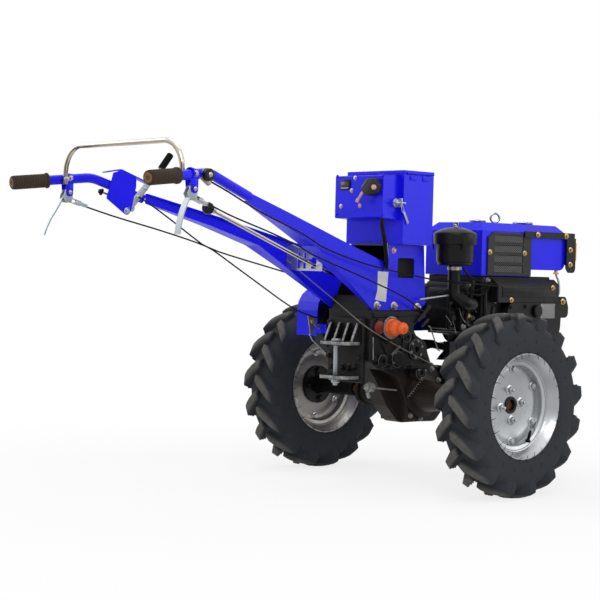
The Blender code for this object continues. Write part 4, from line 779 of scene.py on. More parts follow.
def rubber_hairs(side_out, count=54):
    """The short moulding hairs that a new tyre still carries, by turns at its bead and on its wall."""
    parts = []
    for index in range(count):
        angle = 2 * math.pi * index / count + 0.03 * math.sin(index * 7.3)
        radius = 0.1765 if index % 2 else 0.212 + 0.012 * math.sin(index * 3.1)
        offset = side_out * (0.0672 if index % 2 else 0.0698)
        lean = Vector((0.5 * math.sin(index * 5.7), side_out * 0.35, 0.5 * math.cos(index * 4.1)))
        inward = -ring_point(1.0, angle, 0.0) if index % 2 else ring_point(0.3, angle, 0.0)
        start = ring_point(radius, angle, offset)
        length = (0.019 if index % 2 else 0.008) + 0.008 * abs(math.sin(index * 2.9))
        tip = start + (inward + lean * 0.5).normalized() * length
        tip.y = side_out * min(abs(tip.y), 0.0725)
        parts.append(rod(start, tip, 0.0012, 4, end_radius=0.0006))
    return parts


def rim_skin(outward, steps):
    """The pressed rim with its curled flanges and dropped centre, and the dished disc in it."""
    w, t = 0.066, 0.0035
    flange, seat, well, bore = 0.170, 0.1525, 0.132, 0.0276
    out = outward > 0
    a, b = (0.002, -0.004) if out else (0.004, -0.002)
    section = [(flange - 0.001, w), (flange, w - 0.002), (flange - 0.001, w - t), (seat + 0.010, w - 0.010),
               (seat + 0.003, w - 0.019), (seat, w - 0.027), (seat - 0.003, 0.034), (well + 0.003, 0.028),
               (well, 0.024), (well, -0.024), (well + 0.003, -0.028), (seat - 0.003, -0.034),
               (seat, 0.027 - w), (seat + 0.003, 0.019 - w), (seat + 0.010, 0.010 - w),
               (flange - 0.001, t - w), (flange, 0.002 - w), (flange - 0.001, -w), (flange - 0.004, -w),
               (seat + 0.007, 0.011 - w), (seat - 0.0005, 0.021 - w), (seat - t, -0.036),
               (seat - t - 0.003, -0.032), (well - t + 0.002, -0.028), (well - t, -0.024)]
    ring, near = 0.006 * outward, 0.004 * outward
    section += [(well - t, a - 0.008 if out else b - 0.003), (well - t - 0.004, b + near)]
    section += [(0.118, b + ring), (0.104, b + ring * 0.8), (0.088, b), (bore, b)]
    section += [(bore, a), (0.088, a), (0.104, a + ring * 0.8), (0.118, a + ring)]
    section += [(well - t - 0.004, a + near), (well - t, a + (0.003 if out else 0.002))]
    section += [(well - t, 0.024), (well - t + 0.002, 0.028), (seat - t - 0.003, 0.032), (seat - t, 0.036),
                (seat - 0.0005, w - 0.021), (seat + 0.007, w - 0.011), (flange - 0.004, w)]
    return turned(section, (0, 0, 0), LEFT, steps)


class TRACTOR_OT_wheels(bpy.types.Operator):
    """Builds the lugged tyres, the pressed rims, their bolts, hub bolts and valves."""
    bl_idname = "tractor.wheels"
    bl_label = "Tyres and rims"

    def execute(self, context):
        sizes = context.scene.tractor_sizes
        for side, out in (("left", 1), ("right", -1)):
            centre = Vector((AXLE_X, out * TRACK_HALF, AXLE_Z))
            body = side + "_wheel"
            parts = [tyre_body(sizes.wheel_steps)]
            for column in range(LUG_COLUMNS):
                row = 1 if column % 2 == 0 else -1
                parts.append(lug(column, row, sizes.lug_top_width / 2))
                parts += shoulder_ribs(column, row)
            parts += rubber_hairs(1) + rubber_hairs(-1)
            solid("tyre_skin_" + side, parts, "tyre_rubber", body, 40,
                  ("tyre_" + side,), centre)
            # The far, left rim gets the darker copy of the silver: dust and painted shade.
            look = "silver_paint" if out < 0 else "rim_back"
            solid("rim_skin_" + side, rim_skin(out, sizes.wheel_steps), look, body, 30,
                  ("rim_" + side,), centre)
            self.fasteners(side, out, centre, body, sizes.wheel_bolt)
        return {"FINISHED"}

    def fasteners(self, side, out, centre, body, across):
        outer, inner, dark = [], [], []
        for index in range(6):
            angle = math.radians(30 + 60 * index)
            outer.append(bolt(ring_point(0.116, angle, out * 0.0075), (0, out, 0), across, 0.009))
            outer.append(rod(ring_point(0.116, angle, out * 0.014), ring_point(0.116, angle, out * 0.020),
                             0.004, 12, 0.001))
            outer.append(bolt(ring_point(0.116, angle, out * 0.0015), (0, -out, 0), across, 0.008))
        for index in range(4):
            angle = math.radians(8 + 90 * index)
            place = ring_point(0.049, angle, out * 0.002)
            inner.append(bolt(place, (0, out, 0), 0.019, 0.010))
            inner.append(rod(place, place + Vector((0, out * 0.020, 0)), 0.0048, 12, 0.001))
            dark.append(bolt(ring_point(0.049, angle, -out * 0.0143), (0, -out, 0), 0.018, 0.010))
        solid("wheel_bolts_" + side, outer + inner, "silver_paint", body, offset=centre)
        solid("hub_bolts_" + side, dark, "paint_black", body, offset=centre)
        stem = ring_point(0.1284, math.radians(-65), out * 0.034)
        valve = turned([(0, -0.001), (0.0085, -0.001), (0.0085, 0.004), (0.005, 0.008), (0.0048, 0.030),
                        (0.0035, 0.031), (0.0035, 0.038), (0, 0.038)], stem, (-0.12, out * 0.35, 1.0), 16)
        solid("valve_" + side, valve, "cable_black", body, offset=centre)


# Handles

TUBE_CORNERS = ((-0.9520, 0.2513, 0.9192), (-1.125, 0.2818, 0.976), (-1.254, 0.3116, 0.9616),
                (-1.370, 0.3315, 0.9485))
TUBE_RADIUS = 0.0145
BAR_RADIUS = 0.008
BAR_TOP = 1.0635
BAR_X = -1.221
GRIP_LENGTH = 0.116


def mirrored(points, sign):
    """Points of the left side, or of the right side where the sign is minus."""
    return [(x, sign * y, z) for x, y, z in points]


def tube_place(x, sign):
    """The place on a handle tube's rising part at a station along the machine."""
    before, end = Vector(TUBE_CORNERS[1]), Vector(TUBE_CORNERS[2])
    place = before.lerp(end, (x - before.x) / (end.x - before.x))
    return Vector((place.x, sign * place.y, place.z))


def grip_skin(sign):
    """A moulded rubber grip: a collar, a sleeve with lengthwise ribs and a rounded end."""
    before, end = (Vector(p) for p in mirrored(TUBE_CORNERS, sign)[-2:])
    along = (end - before).normalized()
    radius = 0.0205
    profile = [(TUBE_RADIUS + 0.0009, 0.0), (0.0225, 0.0), (0.0232, 0.001), (0.0232, 0.005),
               (0.0222, 0.0065), (radius - 0.0004, 0.008)]
    for index in range(11):
        at = 0.011 + index * 0.009
        profile += [(radius + 0.0003, at), (radius + 0.0003, at + 0.0062), (radius - 0.0008, at + 0.0074)]
    profile += [(radius, 0.1095), (radius - 0.001, 0.1135), (radius - 0.004, GRIP_LENGTH - 0.0003),
                (0.0045, GRIP_LENGTH - 0.0003), (0.0045, 0.110), (0, 0.110), (0, 0.1095),
                (TUBE_RADIUS + 0.0009, 0.1095)]
    start = end + along * 0.0004 - along * (GRIP_LENGTH - 0.006)
    return turned(profile, start, along, 40), start + along * (GRIP_LENGTH - 0.0006), along


def lever_clamp(sign):
    """The pressed clamp round a handle tube whose two ears hold the squeeze lever."""
    seat = tube_place(-1.200, sign)
    low = 0.916
    inner, outer = TUBE_RADIUS + 0.0003, TUBE_RADIUS + 0.0034
    band = [(inner, -0.013), (outer, -0.013), (outer + 0.0004, -0.0125), (outer + 0.0004, 0.0125),
            (outer, 0.013), (inner, 0.013)]
    parts = [turned(band, seat, (1, -sign * 0.23, -0.11), 32)]
    for ear in (1, -1):
        y = seat.y + ear * 0.0122
        outline = rounded([(seat.x - 0.015, seat.z + 0.002, 0), (seat.x + 0.013, seat.z + 0.002, 0),
                           (seat.x + 0.012, low, 0.009), (seat.x - 0.010, low, 0.009)])
        parts.append(plate(outline, "Y", y - 0.0013, y + 0.0013, 0.0005))
    return parts, seat


def blade(points, half_width, thickness, y):
    """A thin strip bent along its length, its width across the machine."""
    t = thickness / 2
    rings = []
    for (x, z), (nx, nz) in zip(points, normals_of(points)):
        rings.append([Vector((x + nx * t, y - half_width, z + nz * t)),
                      Vector((x + nx * t, y + half_width, z + nz * t)),
                      Vector((x - nx * t, y + half_width, z - nz * t)),
                      Vector((x - nx * t, y - half_width, z - nz * t))])
    return bridged(rings)


def normals_of(points):
    """The directions square to a line of points, seen from the side."""
    out = []
    for index in range(len(points)):
        a, b = points[max(index - 1, 0)], points[min(index + 1, len(points) - 1)]
        d = Vector((b[0] - a[0], b[1] - a[1])).normalized()
        out.append((-d.y, d.x))
    return out


# The bent finger of a squeeze lever on each side, with its half width and its thickness
LEVER_FINGERS = {
    1: (((-1.205, 0.930), (-1.2146, 0.913), (-1.2235, 0.899), (-1.2323, 0.884), (-1.2465, 0.863),
         (-1.260, 0.843), (-1.272, 0.819), (-1.280, 0.797)), 0.0036, 0.0042),
    -1: (((-1.203, 0.926), (-1.2115, 0.907), (-1.221, 0.890), (-1.228, 0.874), (-1.2345, 0.856),
          (-1.240, 0.838), (-1.2438, 0.821), (-1.2465, 0.802)), 0.0120, 0.0030),
}


class TRACTOR_OT_handles(bpy.types.Operator):
    """Builds the grips, tubes, lever clamps, squeeze levers and the grab bar."""
    bl_idname = "tractor.handles"
    bl_label = "Handles"

    def execute(self, context):
        for side, sign in (("left", 1), ("right", -1)):
            skin, end, along = grip_skin(sign)
            solid("grip_skin_" + side, skin, "grip_rubber", replaces=("grip_" + side,))
            cap = turned([(0, -0.002), (0.0150, -0.002), (0.0150, 0.0004), (0.006, 0.0004),
                          (0.0048, -0.001), (0, -0.001)], end, along, 32)
            solid("grip_face_" + side, cap, "grip_end")
            tube("tube_skin_" + side, bent_route(mirrored(TUBE_CORNERS, sign), 0.10, 12), TUBE_RADIUS,
                 "paint_blue", resolution=8, replaces=("handle_tube_" + side,))
            self.lever(side, sign)
        seat = tube_place(BAR_X, 1)
        y, low = seat.y - TUBE_RADIUS - BAR_RADIUS - 0.0009, seat.z - TUBE_RADIUS
        corners = [(BAR_X, y, low), (BAR_X, y, BAR_TOP), (BAR_X, -y, BAR_TOP), (BAR_X, -y, low)]
        tube("grab_bar_skin", bent_route(corners, 0.080, 14), BAR_RADIUS, "chrome",
             resolution=8, replaces=("grab_bar",))
        self.bar_clamps(y, seat)
        return {"FINISHED"}

    def lever(self, side, sign):
        parts, seat = lever_clamp(sign)
        solid("lever_clamp_" + side, parts, "paint_blue")
        pivot = Vector((seat.x, seat.y, 0.928))
        pin = [rod(pivot - Vector((0, 0.016, 0)), pivot + Vector((0, 0.016, 0)), 0.0035, 16),
               dome(pivot + Vector((0, -0.016, 0)), RIGHT, 0.0065, 0.004),
               bolt((seat.x, seat.y - 0.0175, seat.z + 0.002), (0, -1, 0.0), 0.010, 0.005)]
        solid("lever_pin_" + side, pin, "zinc")
        x, z = pivot.x, pivot.z
        cheeks = []
        for ear in (1, -1):
            y = seat.y + ear * 0.0090
            outline = rounded([(x - 0.011, z + 0.009, 0.006), (x + 0.009, z + 0.009, 0.006),
                               (x + 0.014, z - 0.014, 0.006), (x + 0.008, z - 0.032, 0.006),
                               (x - 0.012, z - 0.030, 0.006), (x - 0.022, z - 0.014, 0.004)])
            cheeks.append(plate(outline, "Y", y - 0.0012, y + 0.0012, 0.0004))
        cheeks.append(blade(*LEVER_FINGERS[sign], seat.y))
        solid("squeeze_blade_" + side, cheeks, "zinc_white",
              replaces=("squeeze_lever_" + side,))
        start, fork = Vector((-1.200, seat.y, 0.908)), Vector((-1.137, seat.y - sign * 0.012, 0.8885))
        along = (fork - start).normalized()
        clevis = [block((-0.0075, -0.0052, 0.026), (0.0075, 0.0052, (fork - start).length), 0.002),
                  block((-0.0078, -0.0072, 0), (0.0078, -0.0052, 0.044), 0.0006),
                  block((-0.0078, 0.0052, 0), (0.0078, 0.0072, 0.044), 0.0006)]
        clevis = [aimed(part, start, along) for part in clevis]
        clevis.append(dome(start + Vector((0, -0.0072, 0)), RIGHT, 0.005, 0.003))
        solid("cable_fork_" + side, clevis, "zinc_white")

    def bar_clamps(self, y, seat):
        parts = []
        for sign in (1, -1):
            place = Vector((BAR_X, sign * y, seat.z))
            parts.append(rod(place + Vector((0, -sign * 0.0085, 0)), place + Vector((0, sign * 0.034, 0)),
                             0.003, 12))
            parts.append(bolt(place + Vector((0, -sign * 0.0078, 0)), (0, -sign, 0), 0.010, 0.005))
        solid("grab_bar_bolts", parts, "zinc")


class TRACTOR_OT_controls(bpy.types.Operator):
    """Builds the clutch lever with its plate, the throttle hub and the gear ball."""
    bl_idname = "tractor.controls"
    bl_label = "Hand controls"

    def execute(self, context):
        self.clutch()
        self.throttle(context.scene.tractor_sizes.cable_radius)
        ball = bmesh.new()
        bmesh.ops.create_uvsphere(ball, u_segments=32, v_segments=20, radius=0.019)
        bmesh.ops.translate(ball, vec=(-0.898, -0.0032, 0.8905), verts=ball.verts)
        solid("gear_ball", ball, "paint_black", replaces=("gear_knob",), smooth=60)
        collar = turned([(0, 0), (0.009, 0), (0.0095, 0.002), (0.0095, 0.010), (0.0075, 0.014), (0, 0.014)],
                        (-0.8725, -0.0030, 0.8825), (-0.40, 0.0, 0.155), 24)
        solid("gear_ball_nut", collar, "zinc")
        return {"FINISHED"}

    def clutch(self):
        low, high = Vector((-1.0165, 0.2480, 0.8785)), Vector((-0.9105, 0.2310, 1.0050))
        along = (high - low).normalized()
        strap = plate(rounded([(-0.012, -0.010, 0.008), (0.012, -0.010, 0.008), (0.010, 0.100, 0.004),
                               (0.0045, 0.160, 0.002), (-0.0045, 0.160, 0.002), (-0.010, 0.100, 0.004)]),
                      "Y", -0.0022, 0.0022, 0.0006)
        lean = Matrix.Rotation(math.atan2(along.x, along.z), 3, "Y")
        bmesh.ops.rotate(strap, cent=(0, 0, 0), matrix=lean, verts=strap.verts)
        set_round(strap, math.radians(-10), low)
        parts = [strap, bolt(low + Vector((0, -0.0035, 0)), RIGHT, 0.013, 0.006),
                 dome(low + along * 0.060 + Vector((0, -0.0025, 0)), RIGHT, 0.0065, 0.003),
                 dome(low + along * 0.095 + Vector((0, -0.0025, 0)), RIGHT, 0.005, 0.003),
                 turned([(0.006, 0), (0.0115, 0), (0.0115, 0.004), (0.006, 0.004)],
                        low + Vector((0.016, -0.006, 0.010)), (0, 1, 0), 24)]
        solid("clutch_strap", parts, "zinc_white", replaces=("clutch_lever",))
        profile = [(0.0, 0.0), (0.0098, 0.0)]
        for index in range(10):
            at = 0.002 + index * 0.0058
            profile += [(0.0111, at), (0.0111, at + 0.0028), (0.0084, at + 0.0041)]
        profile += [(0.0096, 0.0595), (0.0060, 0.0610), (0, 0.0610)]
        solid("clutch_sleeve", turned(profile, (-0.9000, 0.2300, 1.0145), (0.042, 0, 0.054), 32),
              "cable_black", replaces=("clutch_grip",))
        neck = [rod((-0.9125, 0.2310, 1.0000), (-0.8990, 0.2300, 1.0165), 0.0045, 14)]
        solid("clutch_neck", neck, "zinc_white")
        head = Vector((-1.094, 0.272, 0.934))
        screw = [rod(head, head + Vector((0.034, -0.004, -0.011)), 0.0035, 12)]
        solid("lever_stop_screw", screw, "brass_plate")
        solid("lever_stop_head", [bolt(head, (-1, 0.1, 0.35), 0.013, 0.008, True)], "cable_black")

    def throttle(self, radius):
        place = Vector((-1.1530, -0.3020, 0.9690))
        axis = Vector(RIGHT)
        hub = [turned([(0, 0.0), (0.0165, 0.0), (0.0175, 0.002), (0.0175, 0.013), (0.0150, 0.016),
                       (0.0, 0.016)], place + axis * 0.004, axis, 32)]
        disc = [(0.0, 0.0), (0.0180, 0.0), (0.0190, 0.002), (0.0190, 0.005), (0, 0.005)]
        corners = [(-1.176, 0.975, 0.004), (-1.150, 0.975, 0.004), (-1.134, 0.944, 0.005),
                   (-1.148, 0.938, 0.005), (-1.178, 0.958, 0.005)]
        bright = [turned(disc, place, axis, 32), dome(place + axis * 0.0195, axis, 0.0075, 0.004),
                  plate(rounded(corners), "Y", place.y - 0.003, place.y, 0.0005)]
        solid("throttle_hub", hub, "paint_black")
        solid("throttle_disc", bright, "zinc")
        route = smooth_route([(-1.150, -0.3065, 0.9565), (-1.1412, -0.3020, 0.9532),
                              (-1.060, -0.286, 0.928), (-0.9868, -0.268, 0.9041), (-0.8858, -0.245, 0.8728),
                              (-0.6963, -0.205, 0.8212), (-0.5764, -0.180, 0.7809),
                              (-0.3879, -0.145, 0.7410), (-0.2306, -0.128, 0.7168),
                              (-0.041, -0.130, 0.6909), (0.058, -0.170, 0.682), (0.150, -0.186, 0.676),
                              (0.243, -0.190, 0.671)], 0.014)
        tube("throttle_cable", route, radius, "cable_black", resolution=3)
        thin = smooth_route([(-0.4614, 0.120, 0.7415), (-0.3665, 0.000, 0.6219), (-0.3050, -0.098, 0.5330),
                             (-0.1868, -0.108, 0.4772), (-0.0801, -0.108, 0.4354),
                             (0.0219, -0.118, 0.3951)], 0.012)
        tube("thin_cable", thin, 0.0016, "thin_sleeve", resolution=3)


# Battery box, panel and base

class TRACTOR_OT_battery_box(bpy.types.Operator):
    """Builds the panel's switches, screws and key, the lid's hinge and the base's bolts and blank plates."""
    bl_idname = "tractor.battery_box"
    bl_label = "Battery box and panel"

    def execute(self, context):
        face = -0.2560
        screws = [bolt((face, y, z), REARWARD, 0.009, 0.004) for y, z in
                  ((0.019, 1.018), (0.034, 0.977), (0.0825, 0.925))]
        solid("panel_screws", screws, "zinc")
        corners = [dome((face, y, z), REARWARD, 0.0055, 0.0032) for y, z in
                   ((0.103, 1.025), (-0.109, 1.0225), (0.1035, 0.899), (-0.109, 0.8975))]
        solid("panel_corner_screws", corners, "paint_blue")
        solid("display_frame", block((face - 0.004, 0.0400, 0.980), (face + 0.001, 0.0860, 1.0125), 0.0012),
              "paint_black")
        pane = block((face - 0.0048, 0.0455, 0.989), (face - 0.0030, 0.0810, 1.006), 0.0005)
        solid("display_glass", pane, "glass")
        strip = block((face - 0.0050, 0.0455, 0.9842), (face - 0.0030, 0.0810, 0.9868), 0.0004)
        solid("display_strip", strip, "blank_plate")
        self.switch(face)
        self.key()
        self.lead()
        self.rim()
        self.base_bolts()
        self.guard_bracket()
        return {"FINISHED"}

    def switch(self, face):
        front = [(-0.0330, 0.9790, 0.004), (-0.0600, 1.0140, 0.004), (-0.0930, 1.0135, 0.006),
                 (-0.1090, 0.9920, 0.006), (-0.0990, 0.9640, 0.008), (-0.0600, 0.9580, 0.006)]
        body = plate(rounded(front), "X", face - 0.028, face - 0.0045, 0.002)
        foot = plate(rounded([(y * 0.94 - 0.0035, 0.985 + (z - 0.985) * 0.90, r) for y, z, r in front]),
                     "X", face - 0.006, face + 0.001, 0.001)
        solid("switch_body", [body, foot], "cover_black", replaces=("battery_switch",))
        rib = rod((face - 0.028, -0.040, 0.984), (face - 0.028, -0.064, 1.010), 0.0022, 10, 0.0005)
        solid("switch_edge", rib, "thin_sleeve")
        knob = rod((face - 0.027, -0.0985, 0.984), (face - 0.034, -0.0985, 0.984), 0.0085, 20, 0.001)
        solid("switch_screw", knob, "pink_screw")
        lever = [rod((face - 0.029, -0.046, 0.969), (face - 0.033, -0.030, 0.944), 0.0046, 14, 0.001),
                 rod((face - 0.033, -0.031, 0.947), (face - 0.034, -0.026, 0.936), 0.0062, 14, 0.002)]
        solid("switch_lever", lever, "pink_screw")
        solid("panel_stud", turned([(0, 0), (0.0075, 0), (0.0075, 0.003), (0.005, 0.005), (0, 0.006)],
                                   (face, -0.008, 0.926), REARWARD, 20), "pink_screw")

    def key(self):
        y = -0.111
        barrel = [turned([(0, 0), (0.0145, 0), (0.0145, 0.004), (0.0110, 0.006), (0.0110, 0.013),
                          (0.0085, 0.015), (0, 0.015)], (-0.196, y, 0.937), RIGHT, 28),
                  block((-0.2200, y - 0.026, 0.9335), (-0.1720, y - 0.013, 0.9405), 0.0025),
                  block((-0.1985, y - 0.030, 0.9230), (-0.1935, y - 0.014, 0.9520), 0.0015)]
        loop = wire_ring(0.0110, 0.0012, 8, (-0.187, y - 0.024, 0.917), (0.5, -1, 0.1), 28)
        tag = plate(rounded([(-0.187, 0.9085, 0.003), (-0.178, 0.9095, 0.003), (-0.157, 0.873, 0.003),
                             (-0.165, 0.868, 0.002)]), "Y", y - 0.026, y - 0.0235, 0.0004)
        solid("key_switch", barrel + [loop, tag], "zinc_white")

    def lead(self):
        route = smooth_route([(-0.2520, -0.1050, 0.884), (-0.2535, -0.1060, 0.868),
                              (-0.2450, -0.1060, 0.838), (-0.2300, -0.1020, 0.796),
                              (-0.2190, -0.0985, 0.752), (-0.2080, -0.088, 0.722)], 0.006)
        tube("panel_lead", route, 0.0068, "cable_black", resolution=5)
        thin = smooth_route([(-0.2240, -0.1040, 0.805), (-0.2180, -0.1030, 0.780),
                             (-0.2125, -0.0990, 0.752), (-0.206, -0.090, 0.730)], 0.006)
        tube("panel_wire", thin, 0.0016, "zinc_white", resolution=3)

    def rim(self):
        low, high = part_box("battery_lid")
        x0, x1, z0 = low.x - AXLE_X, high.x - AXLE_X, low.z
        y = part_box("battery_box")[0].y
        hinge = [rod((x0 + 0.012, y - 0.004, z0 + 0.0035), (x1 - 0.012, y - 0.004, z0 + 0.0035), 0.003, 16)]
        for start in (x0 + 0.030, x1 - 0.058):
            hinge.append(block((start, y - 0.0025, z0 - 0.020), (start + 0.030, y + 0.0004, z0 - 0.002),
                               0.0006))
        solid("lid_hinge", hinge, "paint_blue")

    def guard_bracket(self):
        """The plated bracket and rod behind the belt guard's rear end."""
        vee = [plate(((-0.3358, 0.5571), (-0.2977, 0.5569), (-0.3130, 0.4950), (-0.3220, 0.4950)), "Y",
                     0.1445, 0.1475, 0.0005),
               plate(((-0.3308, 0.5430), (-0.2664, 0.5075), (-0.2664, 0.4990), (-0.3308, 0.5340)), "Y",
                     0.1300, 0.1330, 0.0005),
               bolt((-0.3160, 0.1445, 0.5400), RIGHT, 0.011, 0.006),
               rod((-0.316, 0.1330, 0.5370), (-0.316, 0.1450, 0.5370), 0.004, 12)]
        solid("guard_bracket", vee, "dull_brass")
        tube("guard_rod", [(-0.3312, 0.14, 0.4960), (-0.3200, 0.138, 0.4780), (-0.2441, 0.125, 0.4165)],
             0.0022, "zinc_white", resolution=3)

    def base_bolts(self):
        low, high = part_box("handle_base")
        bolts, screws = [], []
        for sign in (1, -1):
            y = sign * high.y
            for x, z in ((-0.251, 0.600), (-0.171, 0.599), (-0.058, 0.595)):
                bolts.append(bolt((x, y, z), (0, sign, 0), 0.017, 0.009))
                bolts.append(rod((x, y + sign * 0.008, z), (x, y + sign * 0.016, z), 0.0045, 12, 0.001))
            screws.append(bolt((-0.178, y, 0.782), (0, sign, 0), 0.012, 0.006))
        solid("base_bolts", bolts, "zinc")
        solid("base_screws", screws, "pink_screw")
        y = low.y
        label = plate(((-0.2780, 0.6220), (-0.2620, 0.7130), (-0.2010, 0.7110), (-0.2090, 0.6125)), "Y",
                      y - 0.0008, y + 0.0002)
        solid("base_plate_blank", label, "blank_plate")


# Gearbox, hitch and linkage

CASE_SIDE_Y = -0.100
CASE_FOOT_Y = -0.066
PLATE_X = -0.3013
JAWS = ((0.469, 0.483), (0.358, 0.372))
HITCH_BOLTS = ((0.0570, 0.3950), (0.0080, 0.3960), (-0.0240, 0.3960), (-0.0520, 0.4020), (-0.0710, 0.4300),
               (0.0710, 0.5400), (-0.0720, 0.5450), (0.0720, 0.4300))
# Round covers on the case: place along and up, radius, height, bore, side's offset, height of the painted
# highlight ring on the rim
COVERS = ((-0.0720, 0.4560, 0.0330, 0.009, 0.010, CASE_SIDE_Y, 0.0040),
          (-0.1600, 0.4240, 0.0270, 0.012, 0.0, CASE_SIDE_Y, 0.0055),
          (-0.1150, 0.4980, 0.0180, 0.008, 0.006, CASE_SIDE_Y, 0.0035),
          (-0.2300, 0.4200, 0.0200, 0.010, 0.008, CASE_SIDE_Y, 0.0045),
          (-0.0280, 0.3750, 0.0240, 0.006, 0.008, CASE_FOOT_Y - 0.021, 0.0028))
# Rings of small bolts on them: place along and up, radius, count, first step, width, height, side's offset
COVER_BOLTS = ((-0.0720, 0.4560, 0.0270, 6, 0.3, 0.0085, 0.005, CASE_SIDE_Y - 0.0055),
               (-0.1600, 0.4240, 0.0205, 4, 0.3, 0.0085, 0.005, CASE_SIDE_Y - 0.0055),
               (-0.0280, 0.3750, 0.0185, 3, 0.2, 0.007, 0.004, CASE_FOOT_Y - 0.0262))
CASE_BOLTS = ((-0.2650, 0.4250), (-0.2400, 0.4060), (-0.1900, 0.4000), (-0.1280, 0.4020), (-0.0900, 0.4020),
              (-0.0200, 0.4200), (-0.2740, 0.5720), (-0.2097, 0.4843), (-0.1480, 0.5000), (-0.0850, 0.5000))
FOOT_BOLTS = ((0.0850, 0.3450), (0.0900, 0.2500), (0.0000, 0.2180), (-0.0500, 0.2300), (0.0500, 0.3850))


def flanged(place, radius, height, bore=0.0, step=0.004):
    """A round cover facing right, with a stepped rim."""
    return turned([(bore, -0.001), (radius, -0.001), (radius, height * 0.5), (radius - step, height * 0.62),
                   (radius - step, height), (bore, height)], place, RIGHT, 36)


def spring(start, end, radius, turns):
    """Places along a coil between two points."""
    start, end = Vector(start), Vector(end)
    turn = (end - start).normalized().to_track_quat("Z", "Y").to_matrix()
    route = []
    for step in range(turns * 10 + 1):
        angle = step * math.pi / 5
        around = turn @ Vector((radius * math.cos(angle), radius * math.sin(angle), 0))
        route.append(start.lerp(end, step / (turns * 10)) + around)
    return route


